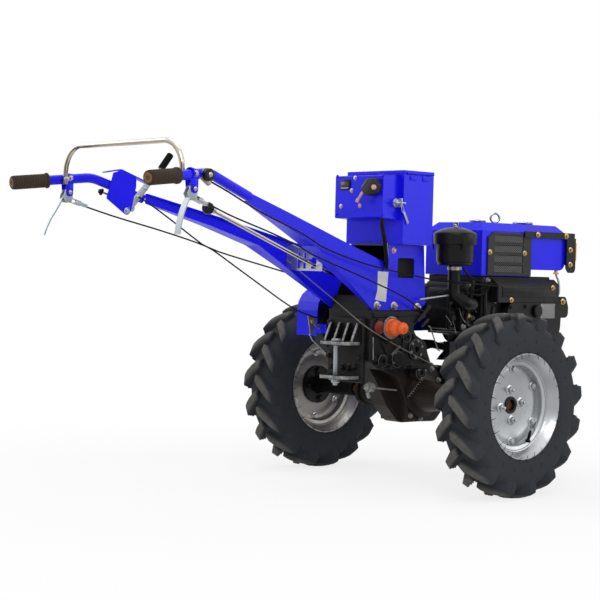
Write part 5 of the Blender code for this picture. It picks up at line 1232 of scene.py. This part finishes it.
class TRACTOR_OT_gearbox(bpy.types.Operator):
    """Builds the case's covers and bolts, the hitch's pale edge strips (painted highlights) and pin, the
    cap, rods and springs.
    """
    bl_idname = "tractor.gearbox"
    bl_label = "Gearbox, hitch and linkage"

    def execute(self, context):
        self.case()
        self.hitch()
        self.cap()
        self.linkage()
        return {"FINISHED"}

    def case(self):
        y, foot = CASE_SIDE_Y, CASE_FOOT_Y
        dark = [flanged((x, at, z), radius, height, bore) for x, z, radius, height, bore, at, _ in COVERS]
        dark += [rod((-0.2700, y - 0.002, 0.5650), (-0.0300, y - 0.002, 0.5720), 0.0035, 10, 0.001),
                 rod((-0.2650, y - 0.002, 0.4080), (-0.0100, y - 0.002, 0.4020), 0.0040, 10, 0.001),
                 rod((-0.1300, y - 0.001, 0.4900), (-0.1450, y - 0.001, 0.4080), 0.0045, 10, 0.001),
                 rod((-0.2350, y - 0.001, 0.4850), (-0.2080, y - 0.001, 0.4420), 0.0045, 10, 0.001)]
        dark += [bolt((x, y, z), RIGHT, 0.013, 0.009, roll=x * 40) for x, z in CASE_BOLTS]
        solid("case_covers", dark, "cast_black")
        edges = []
        for x, z, radius, count, first, across, height, at in COVER_BOLTS:
            for index in range(count):
                angle = 2 * math.pi * (index + first) / count
                place = (x + radius * math.cos(angle), at, z + radius * math.sin(angle))
                edges.append(bolt(place, RIGHT, across, height, False))
        edges += [bolt((x, foot, z), RIGHT, 0.012, 0.007) for x, z in FOOT_BOLTS]
        solid("case_bolts", edges, "mesh_grey")
        # Thin pale rings round the covers' rims: painted highlights along their edges.
        rims = []
        for x, z, radius, *_, at, rise in COVERS:
            low, high = radius - 0.0004, radius + 0.0008
            profile = [(low, 0), (high, 0), (high, 0.0010), (low, 0.0010)]
            rims.append(turned(profile, (x, at - rise, z), RIGHT, 36))
        solid("case_rims", rims, "mesh_grey")
        seam = [(x, foot + 0.0335, z) for x, z in ((-0.206, 0.387), (-0.160, 0.330), (-0.122, 0.270),
                                                   (-0.080, 0.225))]
        tube("case_seam", smooth_route(seam, 0.01), 0.0022, "case_iron", resolution=3)

    def hitch(self):
        # Pale strips along the hitch's ribs and round its jaws: painted edge highlights, broken up by dark
        # patches.
        worn = []
        back = PLATE_X
        for index in range(4):
            y = 0.062 - index * 0.124 / 3
            outline = [(back - 0.0055, 0.5405), (back - 0.0345, 0.4750), (back - 0.0365, 0.4780),
                       (back - 0.0085, 0.5425)]
            worn.append(plate([Vector(p) for p in outline], "Y", y - 0.0042, y + 0.0042, 0.0006))
        for low, high in JAWS:
            outline = rounded([(back + 0.004, -0.0668, 0), (back + 0.004, 0.0668, 0),
                               (-0.348, 0.0668, 0.012), (-0.3786, 0.0366, 0.012), (-0.3708, 0.0, 0),
                               (-0.3786, -0.0366, 0.012), (-0.348, -0.0668, 0.012)])
            worn.append(plate(outline, "Z", low + 0.0020, high - 0.0015, 0.0004))
        solid("hitch_edges", worn, "worn_iron")
        x = -0.342
        pin = [turned([(0, 0.3372), (0.0070, 0.3372), (0.0080, 0.3390), (0.0080, 0.4833), (0.0170, 0.4833),
                       (0.0170, 0.4855), (0.0150, 0.4858), (0.0150, 0.4885), (0.0140, 0.4893), (0, 0.4893)],
                      (x, 0, 0), UP, 28), bolt((x, 0, 0.3578), (0, 0, -1), 0.024, 0.010, True, roll=0.3)]
        solid("hitch_pin_skin", pin, "zinc_white", replaces=("hitch_pin",))
        heads = [bolt((back, y, z), REARWARD, 0.015, 0.010) for y, z in HITCH_BOLTS]
        solid("hitch_bolts", heads, "paint_black")

    def cap(self):
        start = -0.1053
        profile = [(0, start), (0.030, start), (0.030, start - 0.005), (0.0245, start - 0.007),
                   (0.0265, start - 0.016), (0.0258, start - 0.027), (0.0205, start - 0.035),
                   (0.0180, start - 0.040), (0.0198, start - 0.049), (0.0190, start - 0.059),
                   (0.0135, start - 0.066), (0.006, start - 0.0685), (0, start - 0.069)]
        skin = turned([(r, -along) for r, along in profile], (-0.196, 0, 0.529), RIGHT, 40)
        solid("shaft_cap_skin", skin, "orange_cap", replaces=("shaft_cap",))
        ring = turned([(0.0312, 0), (0.0375, 0), (0.0380, 0.003), (0.0360, 0.006), (0.0312, 0.006)],
                      (-0.196, -0.1045, 0.529), RIGHT, 40)
        solid("shaft_ring", ring, "worn_iron")
        # A small plug in dark red: its red darkened for the shade it sits in, painted shade.
        red = turned([(0, 0), (0.0210, 0), (0.0220, 0.002), (0.0220, 0.007), (0.0190, 0.009), (0, 0.009)],
                     (-0.2500, -0.1000, 0.5300), RIGHT, 28)
        solid("red_plug", red, "red_paint")

    def linkage(self):
        y = CASE_SIDE_Y
        pale = [rod((-0.0171, y - 0.006, 0.5329), (-0.0070, y - 0.006, 0.5294), 0.0022, 10),
                rod((-0.0070, y - 0.006, 0.5294), (0.0361, y - 0.004, 0.4523), 0.0022, 10),
                rod((0.0361, y - 0.004, 0.4523), (0.0464, y - 0.004, 0.4477), 0.0022, 10),
                rod((-0.2725, -0.086, 0.3346), (-0.1268, -0.072, 0.3181), 0.0028, 12),
                bolt((-0.2725, -0.086, 0.3346), (-1, -0.1, 0.1), 0.020, 0.014),
                bolt((-0.2580, -0.085, 0.3330), (-1, -0.1, 0.1), 0.018, 0.008),
                rod((-0.2790, -0.086, 0.3190), (-0.2700, -0.086, 0.3000), 0.0065, 8, 0.001),
                rod((-0.2768, -0.104, 0.4991), (-0.2740, -0.104, 0.4243), 0.0020, 8)]
        solid("link_rods", pale, "worn_iron")
        brown = [rod((-0.0718, y - 0.008, 0.5480), (-0.0120, y - 0.008, 0.6010), 0.0058, 12, 0.001),
                 rod((-0.0560, y - 0.012, 0.5300), (-0.0230, y - 0.012, 0.5560), 0.0045, 12, 0.001)]
        solid("shift_bar", brown, "cast_brown")
        coils = (("spring_high", (-0.1900, y - 0.006, 0.4386), (-0.1501, y - 0.006, 0.4677)),
                 ("spring_low", (-0.0845, -0.090, 0.2957), (-0.0135, -0.090, 0.3603)))
        for name, start, end in coils:
            tube(name, spring(start, end, 0.0042, 9), 0.0009, "worn_iron", resolution=2)


# Engine and its covers

GRILLE_ROWS = ((0.8215, 0.8470), (0.7870, 0.8125), (0.7525, 0.7780), (0.7180, 0.7435))
GRILLE_SPAN = (0.246, 0.401)
GRILLE_SHOULDER = 0.8385
GEAR_COVER_BOLTS = ((0.315, 0.600), (0.395, 0.602), (0.460, 0.602), (0.318, 0.520), (0.355, 0.482),
                    (0.440, 0.482), (0.525, 0.488))
MESH_SLOPE = 0.72
MESH_WIRE = 0.0011


def mesh_panel(x0, x1, z0, z1, y, pitch):
    """Diamond mesh over a window: slanting wires both ways, cut at the window's edges."""
    bm = bmesh.new()
    reach = (z1 - z0) / MESH_SLOPE
    for rise, foot in ((MESH_SLOPE, z0), (-MESH_SLOPE, z1)):
        start = x0 - reach
        while start < x1:
            near, far = max(start, x0), min(start + reach, x1)
            if far - near > 0.001:
                ends = [(x, y, foot + rise * (x - start)) for x in (near, far)]
                join(bm, rod(*ends, MESH_WIRE, 4))
            start += pitch
    return bm


class TRACTOR_OT_hood(bpy.types.Operator):
    """Builds the grilles' frames and mesh, the straps' bolts, the caps and the lifting eye."""
    bl_idname = "tractor.hood"
    bl_label = "Hood and tank"

    def execute(self, context):
        for side, sign in (("left", 1), ("right", -1)):
            self.grille(side, sign, context.scene.tractor_sizes.mesh_pitch)
        self.caps()
        return {"FINISHED"}

    def grille(self, side, sign, pitch):
        """One side's grille frame, mesh and core, with the bolts of the frame and of the front strap."""
        x0, x1 = GRILLE_SPAN
        low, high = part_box("grille_" + side)
        outer, inner = (high.y, low.y) if sign > 0 else (low.y, high.y)
        left, right, bottom, top = low.x - AXLE_X, high.x - AXLE_X, low.z, high.z
        bars = [(left, x0, bottom, GRILLE_SHOULDER), (x1, right, bottom, GRILLE_SHOULDER)]
        levels = [bottom] + [z for pair in reversed(GRILLE_ROWS) for z in pair] + [top]
        bars += [(x0 - 0.001, x1 + 0.001, levels[i], levels[i + 1]) for i in range(0, len(levels), 2)]
        parts = [block((a, low.y, c), (b, high.y, d), 0.0008, 1) for a, b, c, d in bars]
        for a, b, cut in ((left, x0, 0.033), (right, x1, -0.045)):
            corner = ((a, GRILLE_SHOULDER), (b, GRILLE_SHOULDER), (b, top), (a + cut, top))
            parts.append(plate(corner, "Y", low.y, high.y))
        solid("grille_frame_" + side, parts, "cover_black",
              replaces=("grille_" + side,))
        nets = [mesh_panel(x0 + 0.002, x1 - 0.002, a + 0.001, b - 0.001, outer - sign * 0.0028, pitch)
                for a, b in GRILLE_ROWS]
        solid("grille_mesh_" + side, nets, "mesh_grey")
        core = block((x0 - 0.01, min(inner, inner - sign * 0.0002), bottom + 0.004),
                     (x1 + 0.01, max(inner, inner + sign * 0.0006), top - 0.003))
        solid("grille_core_" + side, core, "dark_core")
        heads = [bolt((x, outer, 0.787), (0, sign, 0), 0.011, 0.006) for x in (0.2215, 0.4085)]
        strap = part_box("front_guard")[1 if sign > 0 else 0].y
        heads += [bolt((x, strap, z), (0, sign, 0), 0.012, 0.007) for x, z in
                  ((0.4719, 0.854), (0.634, 0.854), (0.660, 0.805), (0.661, 0.752))]
        solid("hood_bolts_" + side, heads, "brass_plate")

    def caps(self):
        foot = foot_of("fuel_cap")
        fuel = [turned([(0, 0), (0.034, 0), (0.0355, 0.002), (0.0365, 0.004), (0.0365, 0.010),
                        (0.0345, 0.0125), (0.030, 0.0135), (0.028, 0.0122), (0.010, 0.0122),
                        (0.008, 0.0155), (0, 0.0158)], foot, UP, 48)]
        for index in range(24):
            rib = block((-0.0012, 0.0355, 0.0035), (0.0012, 0.0370, 0.0105), 0.0004)
            fuel.append(set_round(rib, index * math.pi / 12, foot))
        solid("fuel_cap_skin", fuel, "cap_chrome", replaces=("fuel_cap",))
        foot = foot_of("radiator_cap")
        water = [turned([(0, 0), (0.024, 0), (0.024, 0.003), (0.0295, 0.004), (0.0300, 0.008),
                         (0.0270, 0.0100), (0.012, 0.0105), (0.010, 0.0118), (0, 0.0118)], foot, UP, 48)]
        for turn in (0, math.pi):
            ear = plate(rounded([(0.026, -0.008, 0), (0.034, -0.006, 0.003), (0.034, 0.006, 0.003),
                                 (0.026, 0.008, 0)]), "Z", 0.004, 0.0075, 0.0005)
            water.append(set_round(ear, turn + 0.6, foot))
        solid("radiator_cap_skin", water, "cap_chrome", replaces=("radiator_cap",))
        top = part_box("radiator_housing")[1].z
        ring = wire_ring(0.0165, 0.0042, 12, (0.403, -0.029, top + 0.0215), (0.55, 1, 0), 40)
        foot = turned([(0, 0), (0.0115, 0), (0.0115, 0.003), (0.006, 0.006), (0, 0.006)],
                      (0.403, -0.029, top - 0.0005), UP, 24)
        solid("lifting_eye", [ring, foot], "cap_chrome")


class TRACTOR_OT_engine(bpy.types.Operator):
    """Builds the air cleaner, intake, covers, plates, pipes and cables round the engine."""
    bl_idname = "tractor.engine"
    bl_label = "Engine fittings"

    def execute(self, context):
        x, y, low, high = 0.080, -0.130, 0.738, 0.866
        profile = [(0, low), (0.052, low), (0.057, low + 0.003), (0.0585, low + 0.010),
                   (0.0620, low + 0.012), (0.0630, low + 0.020), (0.0635, high - 0.062),
                   (0.0650, high - 0.058), (0.0722, high - 0.057), (0.0735, high - 0.054),
                   (0.0740, high - 0.024), (0.0730, high - 0.020), (0.0690, high - 0.0165),
                   (0.050, high - 0.007), (0.030, high - 0.001), (0.012, high + 0.001), (0, high + 0.0015)]
        cleaner = [turned(profile, (x, y, 0), UP, 72)]
        for angle in (0.6, 2.7, 4.8):
            clip = block((-0.006, 0.0725, high - 0.075), (0.006, 0.0760, high - 0.030), 0.0008)
            cleaner.append(set_round(clip, angle, (x, y, 0)))
        solid("air_cleaner_skin", cleaner, "paint_black", replaces=("air_cleaner",))
        nut = [turned([(0, 0), (0.009, 0), (0.009, 0.002), (0.0065, 0.003), (0.0065, 0.009), (0.004, 0.011),
                       (0, 0.011)], (x, y, high + 0.001), UP, 20),
               block((x - 0.0018, y - 0.012, high + 0.007), (x + 0.0018, y + 0.012, high + 0.018), 0.0012)]
        solid("cleaner_wing_nut", nut, "zinc")
        route = bent_route([(x, y, low - 0.0003), (x, y, 0.640), (0.112, -0.160, 0.610),
                            (0.156, -0.160, 0.606), (0.156, -0.1203, 0.606)], 0.024, 10)
        tube("intake_skin", route, 0.0215, "paint_black", resolution=8,
             replaces=("intake_pipe",))
        profile = [(0.0218, 0), (0.0245, 0), (0.0245, 0.012), (0.0218, 0.012)]
        solid("intake_clamp", turned(profile, (x, y, low - 0.016), UP, 40), "zinc")
        self.covers()
        self.pipes()
        return {"FINISHED"}

    def covers(self):
        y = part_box("side_cover")[0].y
        panel = [plate(rounded([(0.262, 0.634, 0.004), (0.556, 0.634, 0.004), (0.556, 0.672, 0.004),
                                (0.262, 0.672, 0.004)]), "Y", y - 0.0022, y + 0.001, 0.001)]
        panel += [block((0.268, y - 0.0038, 0.6395), (0.550, y - 0.0015, 0.6425), 0.0008),
                  block((0.268, y - 0.0038, 0.6640), (0.550, y - 0.0015, 0.6670), 0.0008)]
        solid("cover_panel", panel, "paint_black")
        heads = [bolt((0.3118, y, 0.6235), RIGHT, 0.011, 0.006),
                 bolt((0.5369, y - 0.002, 0.668), RIGHT, 0.011, 0.006),
                 bolt((0.6225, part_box("front_cover")[0].y, 0.618), RIGHT, 0.013, 0.008)]
        solid("cover_bolts", heads, "brass_plate")
        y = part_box("gear_cover")[0].y
        left, right, bottom, top = 0.4765, 0.5585, 0.559, 0.6115
        corners = [(left, bottom, 0.004), (right, bottom, 0.004), (right, top, 0.004), (left, top, 0.004)]
        bare = [plate(rounded(corners), "Y", y - 0.0012, y + 0.0005, 0.0004)]
        for a, b, c, d in ((0.4785, 0.5565, 0.6085, 0.6100), (0.4785, 0.5565, 0.5605, 0.5620),
                           (0.4785, 0.4800, 0.5605, 0.6100), (0.5550, 0.5565, 0.5605, 0.6100)):
            bare.append(block((a, y - 0.0016, c), (b, y - 0.0010, d)))
        solid("engine_plate", bare, "mesh_grey")
        rivets = [dome((a, y - 0.0012, b), RIGHT, 0.002, 0.0012) for a in (0.481, 0.554)
                  for b in (0.563, 0.6075)]
        solid("plate_rivets", rivets, "zinc")
        rim = [bolt((a, y, b), RIGHT, 0.012, 0.006) for a, b in GEAR_COVER_BOLTS]
        solid("gear_cover_bolts", rim, "paint_black")
        disc = turned([(0, 0), (0.020, 0), (0.022, 0.003), (0.022, 0.010), (0.018, 0.013), (0, 0.013)],
                      (0.455, y, 0.585), RIGHT, 32)
        solid("oil_filler", disc, "paint_black")

    def pipes(self):
        y = -0.150
        pipe = [(0.607, y, 0.731), (0.6095, y, 0.712), (0.6155, y - 0.006, 0.690),
                (0.6150, y - 0.010, 0.655), (0.612, y - 0.004, 0.636)]
        tube("fuel_pipe", smooth_route(pipe, 0.006), 0.0042, "zinc_white")
        tap = [rod((0.607, y, 0.733), (0.607, y, 0.716), 0.007, 8, 0.001),
               block((0.594, y - 0.003, 0.716), (0.620, y + 0.003, 0.722), 0.001)]
        solid("fuel_tap", tap, "brass_plate")
        routes = {
            "engine_lead_upper": ((0.085, -0.166, 0.728), (0.1297, -0.160, 0.700), (0.1867, -0.170, 0.683),
                                  (0.2316, -0.190, 0.678)),
            "engine_lead_lower": ((0.135, -0.118, 0.640), (0.160, -0.150, 0.652), (0.1978, -0.180, 0.668)),
        }
        for name, points in routes.items():
            tube(name, smooth_route(points, 0.006), 0.0030, "cable_black")
        tube("gear_link_rod", smooth_route([(-0.0665, -0.110, 0.6221), (0.0726, -0.123, 0.638)], 0.02),
             0.0030, "zinc_white")
        self.clutter()

    def clutter(self):
        """The hoses, pipes, bolts and small levers beside the head and under the cleaner."""
        dark = [rod((0.092, -0.101, 0.660), (0.092, -0.101, 0.520), 0.007, 12, 0.002),
                rod((0.150, -0.122, 0.550), (0.190, -0.126, 0.690), 0.006, 12, 0.002),
                rod((0.215, -0.154, 0.520), (0.215, -0.154, 0.650), 0.008, 12, 0.002),
                rod((0.245, -0.154, 0.520), (0.262, -0.154, 0.600), 0.007, 12, 0.002)]
        for x, z in ((0.105, 0.640), (0.105, 0.560), (0.128, 0.600)):
            dark.append(flanged((x, -0.100, z), 0.013, 0.012, 0.0, 0.003))
        for x, z in ((0.155, 0.545), (0.175, 0.530), (0.182, 0.655), (0.148, 0.660)):
            dark.append(flanged((x, -0.120, z), 0.011, 0.010, 0.0, 0.003))
        solid("head_fittings", dark, "paint_black")
        places = ((0.143, -0.120, 0.530), (0.190, -0.120, 0.560), (0.190, -0.120, 0.610),
                  (0.165, -0.120, 0.672), (0.228, -0.152, 0.560), (0.228, -0.152, 0.690),
                  (0.272, -0.152, 0.620), (0.095, -0.100, 0.610))
        heads = [bolt(place, RIGHT, 0.011, 0.007) for place in places]
        solid("head_bolts", heads, "worn_iron")
        brass = [bolt((0.1643, -0.120, 0.5674), RIGHT, 0.013, 0.008),
                 bolt((0.0960, -0.100, 0.6500), RIGHT, 0.010, 0.006)]
        solid("head_brass", brass, "brass_plate")
        thin = {
            "pipe_a": ((0.1112, -0.128, 0.5940), (0.1296, -0.128, 0.5585), (0.1738, -0.126, 0.5294)),
            "pipe_b": ((0.1959, -0.128, 0.5853), (0.2060, -0.130, 0.5720), (0.2181, -0.156, 0.5580)),
            "pipe_c": ((0.0549, -0.120, 0.5668), (0.0700, -0.124, 0.5500), (0.0815, -0.122, 0.5361)),
            "pipe_d": ((0.0906, -0.104, 0.5632), (0.1094, -0.106, 0.5407), (0.1238, -0.106, 0.5050)),
        }
        for name, points in thin.items():
            tube(name, smooth_route(points, 0.006), 0.0016, "worn_iron", resolution=3)
        hoses = {
            "hose_a": ((0.020, -0.110, 0.640), (0.060, -0.135, 0.655), (0.110, -0.125, 0.640),
                       (0.150, -0.124, 0.650)),
            "hose_b": ((0.000, -0.108, 0.600), (0.050, -0.128, 0.590), (0.085, -0.112, 0.560),
                       (0.110, -0.106, 0.530)),
            "hose_c": ((0.240, -0.160, 0.690), (0.200, -0.172, 0.655), (0.170, -0.165, 0.640),
                       (0.120, -0.150, 0.645)),
        }
        for name, points in hoses.items():
            tube(name, smooth_route(points, 0.008), 0.0042, "cable_black", resolution=4)


# Stage. Lamps: name, place, size, power and the place that they look at
LAMPS = (("key_light", (-2.6, -3.6, 4.2), 3.0, 120.0, (0, 0, 0.5)),
         ("side_light", (3.4, -4.0, 2.2), 3.0, 62.0, (0.3, 0, 0.5)),
         ("top_light", (0.2, 0.5, 5.0), 4.0, 75.0, (0.1, 0, 0.4)),
         ("back_light", (-2.0, 4.0, 2.5), 3.0, 60.0, (0.0, 0, 0.5)))
SKY_STRENGTH = 0.36
WHITE = (1, 1, 1, 1)
PICTURE_PIXELS, FOCAL_PIXELS = 600.0, 1551.7
SENSOR_WIDTH = 36.0
CAMERA_AZIMUTH = math.radians(-42.828)
CAMERA_ELEVATION = math.radians(1.349)
CAMERA_ROLL = math.radians(1.482)
CAMERA_DISTANCE = 4.946
CAMERA_TARGET = Vector((AXLE_X - 0.508, 0, AXLE_Z + 0.319))


class TRACTOR_OT_stage(bpy.types.Operator):
    """Sets the pale floor and backdrop, the soft lights and the camera."""
    bl_idname = "tractor.stage"
    bl_label = "Stage, lights and camera"

    def execute(self, context):
        scene = context.scene
        scene.view_settings.view_transform = "Standard"
        floor_bm = bmesh.new()
        bmesh.ops.create_grid(floor_bm, x_segments=1, y_segments=1, size=30.0)
        mesh = bpy.data.meshes.new("floor")
        floor_bm.to_mesh(mesh)
        floor_bm.free()
        floor = bpy.data.objects.new("floor", mesh)
        scene.collection.objects.link(floor)
        mesh.materials.append(self.floor_finish())
        self.world(scene)
        for name, place, size, power, aim in LAMPS:
            lamp = bpy.data.lights.new(name, "AREA")
            lamp.energy = power
            lamp.size = size
            light = bpy.data.objects.new(name, lamp)
            light.location = place
            light.rotation_euler = (Vector(aim) - Vector(place)).to_track_quat("-Z", "Y").to_euler()
            scene.collection.objects.link(light)
        self.camera(scene)
        return {"FINISHED"}

    def floor_finish(self):
        """Pale floor that is plain white where the camera sees it lit, and keeps the machine's shadow."""
        made = bpy.data.materials.new("pale_floor")
        made.use_nodes = True
        tree = made.node_tree
        surface = tree.nodes["Principled BSDF"]
        surface.inputs["Base Color"].default_value = (0.90, 0.90, 0.90, 1.0)
        surface.inputs["Roughness"].default_value = 0.9
        surface.inputs["Specular IOR Level"].default_value = 0.0
        out = tree.nodes["Material Output"]
        path = tree.nodes.new("ShaderNodeLightPath")
        glow = tree.nodes.new("ShaderNodeEmission")
        glow.inputs["Color"].default_value = WHITE
        glow.inputs["Strength"].default_value = 1.0
        mix = tree.nodes.new("ShaderNodeMixShader")
        seen = math_node(tree, "ADD", path.outputs["Is Camera Ray"], path.outputs["Is Glossy Ray"], True)
        distance = tree.nodes.new("ShaderNodeVectorMath")
        distance.operation = "LENGTH"
        tree.links.new(tree.nodes.new("ShaderNodeTexCoord").outputs["Object"], distance.inputs[0])
        fade = ranged(tree, distance.outputs["Value"], 0.9, 2.2, 0.80, 1.0)
        share = math_node(tree, "MULTIPLY", seen, fade)
        tree.links.new(share, mix.inputs[0])
        tree.links.new(surface.outputs[0], mix.inputs[1])
        tree.links.new(glow.outputs[0], mix.inputs[2])
        tree.links.new(mix.outputs[0], out.inputs["Surface"])
        return made

    def world(self, scene):
        world = bpy.data.worlds.new("soft_sky")
        scene.world = world
        world.use_nodes = True
        tree = world.node_tree
        sky = tree.nodes["Background"]
        sky.inputs["Color"].default_value = WHITE
        sky.inputs["Strength"].default_value = SKY_STRENGTH
        seen = tree.nodes.new("ShaderNodeBackground")
        seen.inputs["Color"].default_value = WHITE
        seen.inputs["Strength"].default_value = 1.0
        path = tree.nodes.new("ShaderNodeLightPath")
        mix = tree.nodes.new("ShaderNodeMixShader")
        flags = math_node(tree, "ADD", path.outputs["Is Camera Ray"], path.outputs["Is Glossy Ray"], True)
        flags = math_node(tree, "ADD", flags, path.outputs["Is Transmission Ray"], True)
        tree.links.new(flags, mix.inputs[0])
        tree.links.new(sky.outputs[0], mix.inputs[1])
        tree.links.new(seen.outputs[0], mix.inputs[2])
        tree.links.new(mix.outputs[0], tree.nodes["World Output"].inputs["Surface"])

    def camera(self, scene):
        data = bpy.data.cameras.new("camera")
        data.sensor_width = SENSOR_WIDTH
        data.lens = SENSOR_WIDTH * FOCAL_PIXELS / PICTURE_PIXELS
        data.clip_start, data.clip_end = 0.05, 100.0
        camera = bpy.data.objects.new("camera", data)
        level = math.cos(CAMERA_ELEVATION)
        back = Vector((math.sin(CAMERA_AZIMUTH) * level, -math.cos(CAMERA_AZIMUTH) * level,
                       math.sin(CAMERA_ELEVATION)))
        camera.location = CAMERA_TARGET + back * CAMERA_DISTANCE
        camera.rotation_mode = "QUATERNION"
        roll = Matrix.Rotation(CAMERA_ROLL, 3, "Z").to_quaternion()
        camera.rotation_quaternion = (-back).to_track_quat("-Z", "Y") @ roll
        scene.collection.objects.link(camera)
        scene.camera = camera


class TRACTOR_PT_panel(bpy.types.Panel):
    """Lists the tractor's colours, sizes and makers in the sidebar."""
    bl_idname = "TRACTOR_PT_panel"
    bl_label = "Walking tractor"
    bl_space_type = "VIEW_3D"
    bl_region_type = "UI"
    bl_category = "Tractor"

    def draw(self, context):
        for group in (context.scene.tractor_colours, context.scene.tractor_sizes):
            for name in group.__annotations__:
                self.layout.prop(group, name)
        for operator in OPERATORS:
            self.layout.operator(operator.bl_idname)


OPERATORS = (TRACTOR_OT_finishes, TRACTOR_OT_wheels, TRACTOR_OT_handles, TRACTOR_OT_controls,
             TRACTOR_OT_battery_box, TRACTOR_OT_gearbox, TRACTOR_OT_hood, TRACTOR_OT_engine,
             TRACTOR_OT_stage)
CLASSES = (TractorColours, TractorSizes) + OPERATORS + (TRACTOR_PT_panel,)


def register():
    for item in CLASSES:
        bpy.utils.register_class(item)
    bpy.types.Scene.tractor_colours = PointerProperty(type=TractorColours)
    bpy.types.Scene.tractor_sizes = PointerProperty(type=TractorSizes)


def unregister():
    del bpy.types.Scene.tractor_sizes
    del bpy.types.Scene.tractor_colours
    for item in reversed(CLASSES):
        bpy.utils.unregister_class(item)


def main():
    """Dresses the machine piece by piece."""
    register()
    bpy.ops.tractor.finishes()
    bpy.ops.tractor.wheels()
    bpy.ops.tractor.handles()
    bpy.ops.tractor.controls()
    bpy.ops.tractor.battery_box()
    bpy.ops.tractor.gearbox()
    bpy.ops.tractor.hood()
    bpy.ops.tractor.engine()
    bpy.ops.tractor.stage()


if __name__ == "__main__":
    main()
